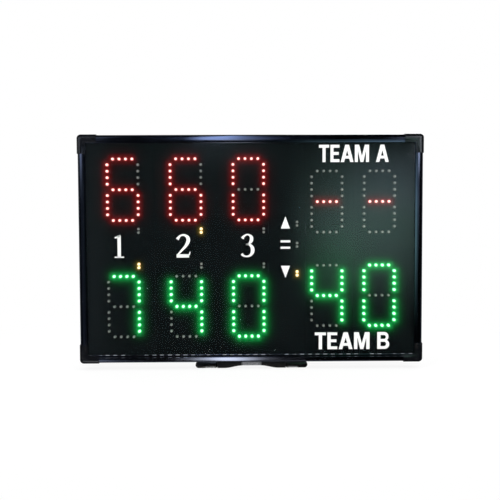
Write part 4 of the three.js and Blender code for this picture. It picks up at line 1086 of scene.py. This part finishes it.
panelLook = {
    "thickness": 2.0, "corner": 1.5, "edge": 0.25, "switchHole": (6.7, 9.8, 0.5),  # half sizes, corner
    "socketHole": 6.1,
}
screwLook = {
    "headRadius": 2.9, "headHeight": 1.9, "rimHeight": 0.7, "recessReach": 1.7, "recessWidth": 0.85,
    "recessDepth": 1.2, "inset": 8.0, "fromCorner": 28.0, "panelShare": 0.17,
    "lift": 0.02,  # keeps a head's underside off the sheet
    "turn": 40.107,  # degrees from one screw to the next
}


def backPanelMesh():
    look = panelLook
    low, high = boxOf("back_panel")
    x, socket = middleOf("power_rocker").x, middleOf("dc_socket")
    z = (boxOf("switch_terminal_low")[0].z + boxOf("switch_terminal_high")[1].z) / 2
    wide, tall, corner = look["switchHole"]
    outlines = [roundedBox(low.x, high.x, low.z, high.z, look["corner"]),
                roundedBox(x - wide, x + wide, z - tall, z + tall, corner),
                circle(socket.x, socket.z, look["socketHole"], 32)]
    sheet = plate(outlines, panelRear - look["thickness"], panelRear, look["edge"])
    sheet.materials.append(powderCoat)
    sheet.materials.append(insideCoatShaded)
    for face in sheet.polygons:
        face.material_index = 1 if face.normal.y < -0.9 else 0  # the side that looks into the case, which takes the painted shade
    return sheet


def screwHead(face):
    look = screwLook
    radius, height, rim = look["headRadius"], look["headHeight"], look["rimHeight"]
    dome = arcPoints(0, face + rim, radius, 0, 90, 6, height - rim)
    head = turned([(0, face), (radius, face)] + dome, 28)
    reach, width = look["recessReach"], look["recessWidth"] / 2
    depths = (face + height - look["recessDepth"], face + height + 1)
    inside = 0.999  # keeps the cross's bars from sharing a face
    return cutBy(head, [prism([(-a, -b), (a, -b), (a, b), (-a, b)], 1, depths)
                        for a, b in ((reach, width), (width * inside, reach * inside))])


addMade("back_panel", "sheet", backPanelMesh(), powderCoat, "back_sheet", sharp=12)
screwX, screwZ = halfWidth - screwLook["inset"], halfHeight - screwLook["inset"]
panelScrewX = 2 * halfWidth * screwLook["panelShare"]
capScrewX = halfWidth - screwLook["fromCorner"]
panelScrews = [(x, z) for x in (-panelScrewX, panelScrewX) for z in (-screwZ, screwZ)]
panelScrews += [(-screwX, 0), (screwX, 0)]
capScrews = [(x, z) for x in (-capScrewX, capScrewX) for z in (-screwZ, screwZ)]
for kind, face, places in (("panel", panelRear, panelScrews), ("cap", panelRear + capSkin, capScrews)):
    head = screwHead(face + screwLook["lift"])
    for number, (x, z) in enumerate(places):
        addPiece(f"{kind}_screw_{number + 1}", head, zincSteel, "zinc_steel",
                 turn=placed(x, 0, z, number * screwLook["turn"]))
print("back panel made")


# Hangers, their rivets, and the bumpers

hangerLook = {
    "wall": 1.8, "lift": 0.3, "bridge": 40.0, "keyholeRadius": 5.5, "slotWidth": 5.2, "slotLength": 12.0,
    "keyholeDrop": 7.0, "rivetRadius": 3.3, "rivetHeight": 1.4, "rivetFoot": 0.2,
    "dimple": (0.9, 0.8, 0.7),  # radius at its mouth and floor, and depth
}
bumperLook = {
    "edge": 1.6, "taper": 1.2, "foot": 0.3, "dishRadius": 3.4, "dishDepth": 2.2, "sides": 48,
    "cadSides": 12,  # the CAD part's own circles, whose corners reach out to the true radius
}


def hangerMesh(low, high):
    look = hangerLook
    wall, half, end = look["wall"], look["bridge"] / 2, (high.z - low.z) / 2
    foot = panelRear + look["lift"]
    section = [
        (foot, -end), (foot, wall - half), (-wall, wall - half), (-wall, half - wall), (foot, half - wall),
        (foot, end), (foot + wall, end), (foot + wall, half), (0, half), (0, -half), (foot + wall, -half),
        (foot + wall, -end)]
    middle = (low + high) / 2
    bracket = prism([(y, middle.z + z) for y, z in section], 0, (low.x, high.x))
    radius, width = look["keyholeRadius"], look["slotWidth"] / 2
    neck = math.degrees(math.asin(width / radius))
    low = middle.z - look["keyholeDrop"]
    keyhole = (arcPoints(middle.x, low, radius, 90 + neck, 450 - neck, 28)
               + arcPoints(middle.x, low + look["slotLength"], width, 0, 180, 12))
    return cutBy(bracket, [prism(keyhole, 1, (-wall - 1, 1))])


def rivetMesh(x, z, face):
    look = hangerLook
    radius, foot, top = look["rivetRadius"], face - look["rivetFoot"], face + look["rivetHeight"]
    dome = arcPoints(0, face, radius, 0, 90, 6, look["rivetHeight"])
    mouth, floor, depth = look["dimple"]
    profile = [(0, foot), (radius, foot)] + dome[:-1] + [(mouth, top - 0.02), (floor, top - depth)]
    return turned(profile, 24, x, z)


def cadRadius(low, high, sides):  # true radius of a turned piece of the CAD part, from its box
    return (high.x - low.x) / 2 / math.cos(math.pi / sides)


def bumperMesh(low, high):
    look = bumperLook
    radius, top = cadRadius(low, high, look["cadSides"]), high.y
    edge, foot, dish, depth = look["edge"], look["foot"], look["dishRadius"], look["dishDepth"]
    profile = (
        [(0, low.y), (radius - foot, low.y), (radius - foot, low.y + foot)]
        + arcPoints(radius - look["taper"] - edge, top - edge, edge, 0, 90, 6)
        + [(dish, top), (dish - 0.3, top - 0.3), (dish - 0.5, top - depth), (0, top - depth)])
    middle = (low + high) / 2
    return turned(profile, look["sides"], middle.x, middle.z)


for place in ("left", "right"):
    low, high = boxOf("hanger_" + place)
    addMade("hanger_" + place, "pressed", hangerMesh(low, high), zincSteel, "zinc_steel", edge=0.4)
    middle = (low + high) / 2
    rivetReach = (hangerLook["bridge"] + (high.z - low.z)) / 4
    for side, z in (("low", middle.z - rivetReach), ("high", middle.z + rivetReach)):
        rivet = rivetMesh(middle.x, z, panelRear + hangerLook["lift"] + hangerLook["wall"])
        addPiece(f"hanger_rivet_{place}_{side}", rivet, zincSteel, "zinc_steel")
    addMade("bumper_" + place, "moulded", bumperMesh(*boxOf("bumper_" + place)), mouldedRubber,
            "black_rubber")
print("hangers and bumpers made")


# Power switch and its rocker, and the charging socket

switchLook = {
    "bezelCorner": 1.6, "wall": 1.0, "border": 1.1, "bezelHeight": 1.8, "floor": 4.5,
    "bodyCorner": 0.6, "wellCorner": 0.4,
}
rockerLook = {
    "tilt": 9.0, "tipHeight": 4.2, "waist": 2.7, "skirt": 2.1, "keel": 3.0, "pivotDepth": 3.1, "steps": 10,
    "play": (0.3, 0.95),  # between it and the well's sides, and its ends
    "markSize": 2.2, "markShare": 0.58,  # of the way from the middle to a tip
    "barHalf": 0.3, "barCorner": 0.1, "ringWall": 0.45, "sunk": 0.08, "proud": 0.12,
}
socketLook = {
    "barrel": 5.5, "bore": 3.3, "boreDepth": 9.0, "pin": 1.05, "pinShort": 1.4, "edge": 0.6, "flange": 1.9,
    "sides": 40, "pinSides": 24, "mouthEdge": 0.4, "pinEdge": 0.3, "pinFoot": 0.5, "cadSides": 12,
}


def switchMesh(low, high):
    look = switchLook
    face, rear, inset, wall = high.y, high.y - look["bezelHeight"], look["border"], look["wall"]
    body = (low.x + inset, high.x - inset, low.z + inset, high.z - inset)
    mouth = roundedBox(body[0] + wall, body[1] - wall, body[2] + wall, body[3] - wall, look["wellCorner"])
    outer = roundedBox(*body, look["bodyCorner"])
    bezel = plate([roundedBox(low.x, high.x, low.z, high.z, look["bezelCorner"]), mouth],
                  rear, face, 0.35)
    tube = plate([outer, mouth], low.y, rear + 0.1, 0.1, 1)
    floor = plate([outer], low.y, low.y + look["floor"], 0.1, 1)
    return joined([bezel, tube, floor])


def paddleHeight(share):  # of the dished face over the pivot, at a share of the way to a tip
    return rockerLook["waist"] + (rockerLook["tipHeight"] - rockerLook["waist"]) * share * share


def rockerMesh(halfLength, halfWide):
    steps, skirt, keel = rockerLook["steps"], rockerLook["skirt"], rockerLook["keel"]
    outline = [(paddleHeight(i / steps), halfLength * i / steps) for i in range(-steps, steps + 1)]
    outline += [(skirt, halfLength), (-keel, keel), (-keel, -keel), (skirt, -halfLength)]
    return prism(outline, 0, (-halfWide, halfWide))


def rockerMark(kind, halfLength):  # a bar for on, a ring for off, on the paddle's dished face
    look = rockerLook
    half, bar = look["markSize"] / 2, look["barHalf"]
    if kind == "on":
        share, outlines = look["markShare"], [roundedBox(-bar, bar, -half, half, look["barCorner"])]
    else:
        share = -look["markShare"]
        outlines = [circle(0, 0, radius, 28) for radius in (half, half - look["ringWall"])]
    slope = math.degrees(math.atan2(2 * share * (look["tipHeight"] - look["waist"]), halfLength))
    mark = plate(outlines, -look["sunk"], look["proud"], 0.02, 1)
    mark.transform(placed(0, paddleHeight(share), share * halfLength, -slope, "X"))
    return mark


def socketMeshes(low, high):
    look = socketLook
    middle, face = (low + high) / 2, high.y
    flange, edge = cadRadius(low, high, look["cadSides"]), look["edge"]
    barrel, bore = look["barrel"], look["bore"]
    shoulder, floor, mouthEdge = face - look["flange"], face - look["boreDepth"], look["mouthEdge"]
    shell = [(0, low.y), (barrel, low.y), (barrel, shoulder), (flange, shoulder), (flange, face - edge),
             (flange - edge * 0.3, face - edge * 0.3), (flange - edge, face), (bore + mouthEdge, face),
             (bore, face - mouthEdge), (bore, floor), (0, floor)]
    radius, pinEdge = look["pin"], look["pinEdge"]
    top, foot = face - look["pinShort"], floor - look["pinFoot"]
    pin = [(0, foot), (radius, foot), (radius, top - pinEdge), (radius - pinEdge, top), (0, top)]
    return [turned(profile, sides, middle.x, middle.z)
            for profile, sides in ((shell, look["sides"]), (pin, look["pinSides"]))]


switchLow, switchHigh = boxOf("switch_housing")
switchMiddle = (switchLow + switchHigh) / 2
wellInset = switchLook["border"] + switchLook["wall"]
rockerHalfWide = (switchHigh.x - switchLow.x) / 2 - wellInset - rockerLook["play"][0]
rockerHalf = (switchHigh.z - switchLow.z) / 2 - wellInset - rockerLook["play"][1]
rockerTurn = placed(switchMiddle.x, switchHigh.y - rockerLook["pivotDepth"], switchMiddle.z,
                    rockerLook["tilt"], "X")
addMade("switch_housing", "moulded", switchMesh(switchLow, switchHigh), mouldedNylon, "nylon_black")
addMade("power_rocker", "paddle", rockerMesh(rockerHalf, rockerHalfWide), mouldedNylon, "nylon_black",
        body="rocker", turn=rockerTurn, edge=0.35)
for kind in ("on", "off"):
    addPiece("rocker_mark_" + kind, rockerMark(kind, rockerHalf), printedInk, "nylon_black",
             body="rocker", turn=rockerTurn)
socketShell, socketPin = socketMeshes(*boxOf("dc_socket"))
addMade("dc_socket", "shell", socketShell, mouldedNylon, "nylon_black")
addPiece("dc_socket_pin", socketPin, stampedBrass, "tinned_brass")
print("switch and socket made")


# What stays inside the case keeps its own shape and gets its finish

innerFinishes = {
    "corner_key": zincSteel, "handle_nut_plate": zincSteel, "handle_screw": zincSteel,
    "battery_clamp": zincSteel, "dc_socket_nut": zincSteel, "control_board": greenMask,
    "receiver_module": greenMask, "receiver_antenna": stampedBrass, "switch_terminal": stampedBrass,
    "ribbon": ribbonPvc, "battery_pack": shrinkSleeve, "capacitor": shrinkSleeve,
    "board_link": mouldedNylon, "battery_lead": drawnPvc, "switch_lead": drawnPvc, "socket_lead": drawnPvc,
}
for name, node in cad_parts.items():
    if not node.hide_render:
        finish = next(material for start, material in innerFinishes.items() if name.startswith(start))
        node.data.materials.clear()
        node.data.materials.append(finish)
print("inner pieces finished")


# Studio: white floor and surroundings, soft lamps, and a dark cloth round the front for the gloss

studioLook = {
    "floorSize": 8.0, "worldStrength": 0.75,
    "floorShadow": 0.13,  # how much of the lamps' light and shade the floor keeps near the board
    "floorFade": (0.35, 0.8),  # metres from the middle over which it turns into plain white
}


def seenByEye(material):  # 1 for the camera, directly, in gloss or through the window; 0 for the rest
    rays = addNode(material, "LightPath", {}).outputs
    seen = maths(material, "ADD", rays["Is Camera Ray"], rays["Is Glossy Ray"])
    return ramp(material, maths(material, "ADD", seen, rays["Is Transmission Ray"]), 0, 1)


def surroundings():
    world = bpy.data.worlds.new("white_surroundings")
    world.use_nodes = True
    scene.world = world
    strength = ramp(world, seenByEye(world), 0, 1, studioLook["worldStrength"], 1.0)
    feed(world, world.node_tree.nodes["Background"], {"Color": "#ffffff", "Strength": strength})


def floorMaterial():
    material = newMaterial("floor_white")
    matt = addNode(material, "BsdfDiffuse", {"Color": "#f2f2f2"}).outputs[0]
    white = addNode(material, "Emission", {"Color": "#ffffff", "Strength": 1.0}).outputs[0]
    away = addNode(material, "VectorMath", {0: objectPlace(material)}, operation="LENGTH").outputs["Value"]
    plain = ramp(material, away, *studioLook["floorFade"], 1 - studioLook["floorShadow"], 1, "SMOOTHSTEP")
    share = product(material, seenByEye(material), plain)
    mixed = addNode(material, "MixShader", {0: share, 1: matt, 2: white})
    addNode(material, "OutputMaterial", {"Surface": mixed.outputs[0]})
    return material


def stagePiece(name, points, faces, material):
    mesh = rawMesh(points, faces)
    mesh.materials.append(material)
    piece = bpy.data.objects.new(name, mesh)
    scene.collection.objects.link(piece)
    return piece


def addFloor():
    half = studioLook["floorSize"] / 2 / mm
    corners = [(-half, -half, 0), (half, -half, 0), (half, half, 0), (-half, half, 0)]
    floor = stagePiece("floor", corners, [(0, 1, 2, 3)], floorMaterial())
    floor.location.z = cadBox[0].z
    floor.visible_glossy = False  # the gloss sees the cloth in front, and the white world behind


# Cloth drawn round the front, over the top and under the board, open behind: only gloss sees it.
# Lit cards hang before it. Each one is a patch of direction in degrees, azimuth from straight ahead
# and height over the horizon: low, high, softness of both, then colour and strength
clothLook = {
    "radius": 30000.0, "openFrom": 155, "openLow": -30, "openHigh": 45, "steps": 72, "rows": 36,
    "level": 0.012,
}
clothCards = {
    "left_strip": (-34, -14.4, 1.3, 3.2, 14, 1.6, "#dfe8f5", 4.4),
    "left_wall": (-22, -10.2, 1.5, -40, 20, 8, "#c8d4e4", 0.24),
    "right_strip": (13.6, 17.5, 1.0, 3.2, 14, 0.9, "#e8eef8", 10),
    "right_strip_low": (13.6, 17.5, 1.0, -1.5, 3, 2.5, "#d8e4f0", 0.7),
    "top_box": (-3.2, -0.6, 1.0, 5.6, 88, 0.9, "#c4d4f4", 11),
    "top_box_side": (-2.0, 1.6, 2.2, 5.6, 88, 0.9, "#c4d4f4", 3.2),
    "bottom_card": (-2.4, 0.25, 1.8, -64, -12.4, 1.0, "#fff8ec", 24),
    "floor_card": (-200, 200, 1, -95, -78, 3, "#ffffff", 1.5),
    "rear_left": (-150, -95, 10, -60, 60, 10, "#dfe4ea", 0.12),
    "rear_right": (95, 150, 10, -60, 60, 10, "#dfe4ea", 0.2),
    "side_left": (-99, -84, 7, -30, 40, 15, "#dfe4ea", 1.8),
    "side_right": (84, 99, 7, -30, 40, 15, "#dfe4ea", 1.8),
    "top_left_box": (-14, -10.5, 1, 9, 40, 4, "#c8d0dc", 1.4),
    "bottom_left_card": (-15.5, -12.3, 0.8, -50, -15, 4, "#e0e4ea", 7),
    "right_haze": (5.6, 13.4, 3.0, -4.5, 2.1, 4, "#bff2e6", 2.65),
    "low_haze": (6.0, 8.5, 2.5, -6.0, -2.8, 2.6, "#00ff7c", 1.5),
    "high_haze": (8.8, 14.6, 2.6, -0.2, 3.8, 1.4, "#c4ccf0", 0.85),
    "upper_haze": (-4.0, 1.5, 3.0, 3.2, 5.2, 1.3, "#c0d8e4", 0.42),
}


def clothMaterial():
    material = newMaterial("dark_cloth")

    def vectors(operation, inputs):
        return addNode(material, "VectorMath", inputs, operation=operation).outputs[0]

    def within(angle, low, high, soft):
        return product(material, ramp(material, angle, low - soft, low + soft, kind="SMOOTHSTEP"),
                       ramp(material, angle, high - soft, high + soft, 1, 0, "SMOOTHSTEP"))

    x, y, z = partsOf(material, vectors("NORMALIZE", {0: objectPlace(material)}))
    turned = maths(material, "ARCTAN2", x, maths(material, "MULTIPLY", y, -1.0))
    azimuth, height = [maths(material, "DEGREES", angle)
                       for angle in (turned, maths(material, "ARCSINE", z))]
    total = [clothLook["level"]] * 3
    for low, high, soft, lowHeight, highHeight, softHeight, colour, strength in clothCards.values():
        share = product(material, within(azimuth, low, high, soft),
                        within(height, lowHeight, highHeight, softHeight))
        lit = [c * strength for c in linearColour(colour)[:3]]
        total = vectors("ADD", {0: total, 1: vectors("SCALE", {0: lit, "Scale": share})})
    glow = addNode(material, "Emission", {"Strength": 1.0, "Color": total})
    addNode(material, "OutputMaterial", {"Surface": glow.outputs[0]})
    material.cycles.emission_sampling = "NONE"
    return material


def addCloth():
    look = clothLook
    radius, columns, rows = look["radius"], look["steps"], look["rows"]
    points, faces = [], []
    for j in range(rows + 1):
        height = math.radians(-90 + 180 * j / rows)
        for i in range(columns + 1):
            azimuth = math.radians(-180 + 360 * i / columns)
            points.append((radius * math.sin(azimuth) * math.cos(height),
                           -radius * math.cos(azimuth) * math.cos(height), radius * math.sin(height)))
    for j in range(rows):
        for i in range(columns):
            azimuth, height = -180 + 360 * (i + 0.5) / columns, -90 + 180 * (j + 0.5) / rows
            if abs(azimuth) <= look["openFrom"] or not look["openLow"] < height < look["openHigh"]:
                first = j * (columns + 1) + i
                faces.append((first, first + 1, first + columns + 2, first + columns + 1))
    cloth = stagePiece("dark_cloth", points, faces, clothMaterial())
    for ray in ("camera", "diffuse", "transmission", "volume_scatter", "shadow"):
        setattr(cloth, "visible_" + ray, False)


# Soft boxes: place, power in watts, size in metres, and whether the gloss sees them too; each looks
# at the middle of the board
lampRig = {
    "key_left": ((-1.6, -1.5, 1.7), 26, (1.0, 0.7), False),
    "fill_right": ((1.9, -1.4, 1.2), 16, (0.9, 0.9), False),
    "top_strip": ((0.0, -0.3, 1.6), 10, (1.6, 0.25), False),
    "rear": ((0.9, 1.9, 1.3), 22, (1.4, 1.0), True),
}


def addLamps():
    for name, (place, power, (width, height), inGloss) in lampRig.items():
        lamp = bpy.data.lights.new(name, "AREA")
        lamp.shape = "RECTANGLE"
        lamp.size, lamp.size_y, lamp.energy = width, height, power
        holder = bpy.data.objects.new(name, lamp)
        holder.location = place
        holder.visible_glossy = inGloss
        holder.rotation_euler = (-Vector(place)).to_track_quat("-Z", "Y").to_euler()
        scene.collection.objects.link(holder)


# Camera where the photograph was taken from: straight on, a little above the middle
cameraLook = {"lens": 57.83, "place": (-22.3, -1637.9, 86.1), "turn": (86.846, 0.227, -0.733)}


def addCamera():
    camera = bpy.data.objects.new("camera", bpy.data.cameras.new("camera"))
    camera.data.lens = cameraLook["lens"]
    camera.location = [c * mm for c in cameraLook["place"]]
    camera.rotation_euler = [math.radians(angle) for angle in cameraLook["turn"]]
    scene.collection.objects.link(camera)
    scene.camera = camera


surroundings()
addFloor()
addCloth()
addLamps()
addCamera()
scene.view_settings.view_transform = "Standard"
print("studio made")
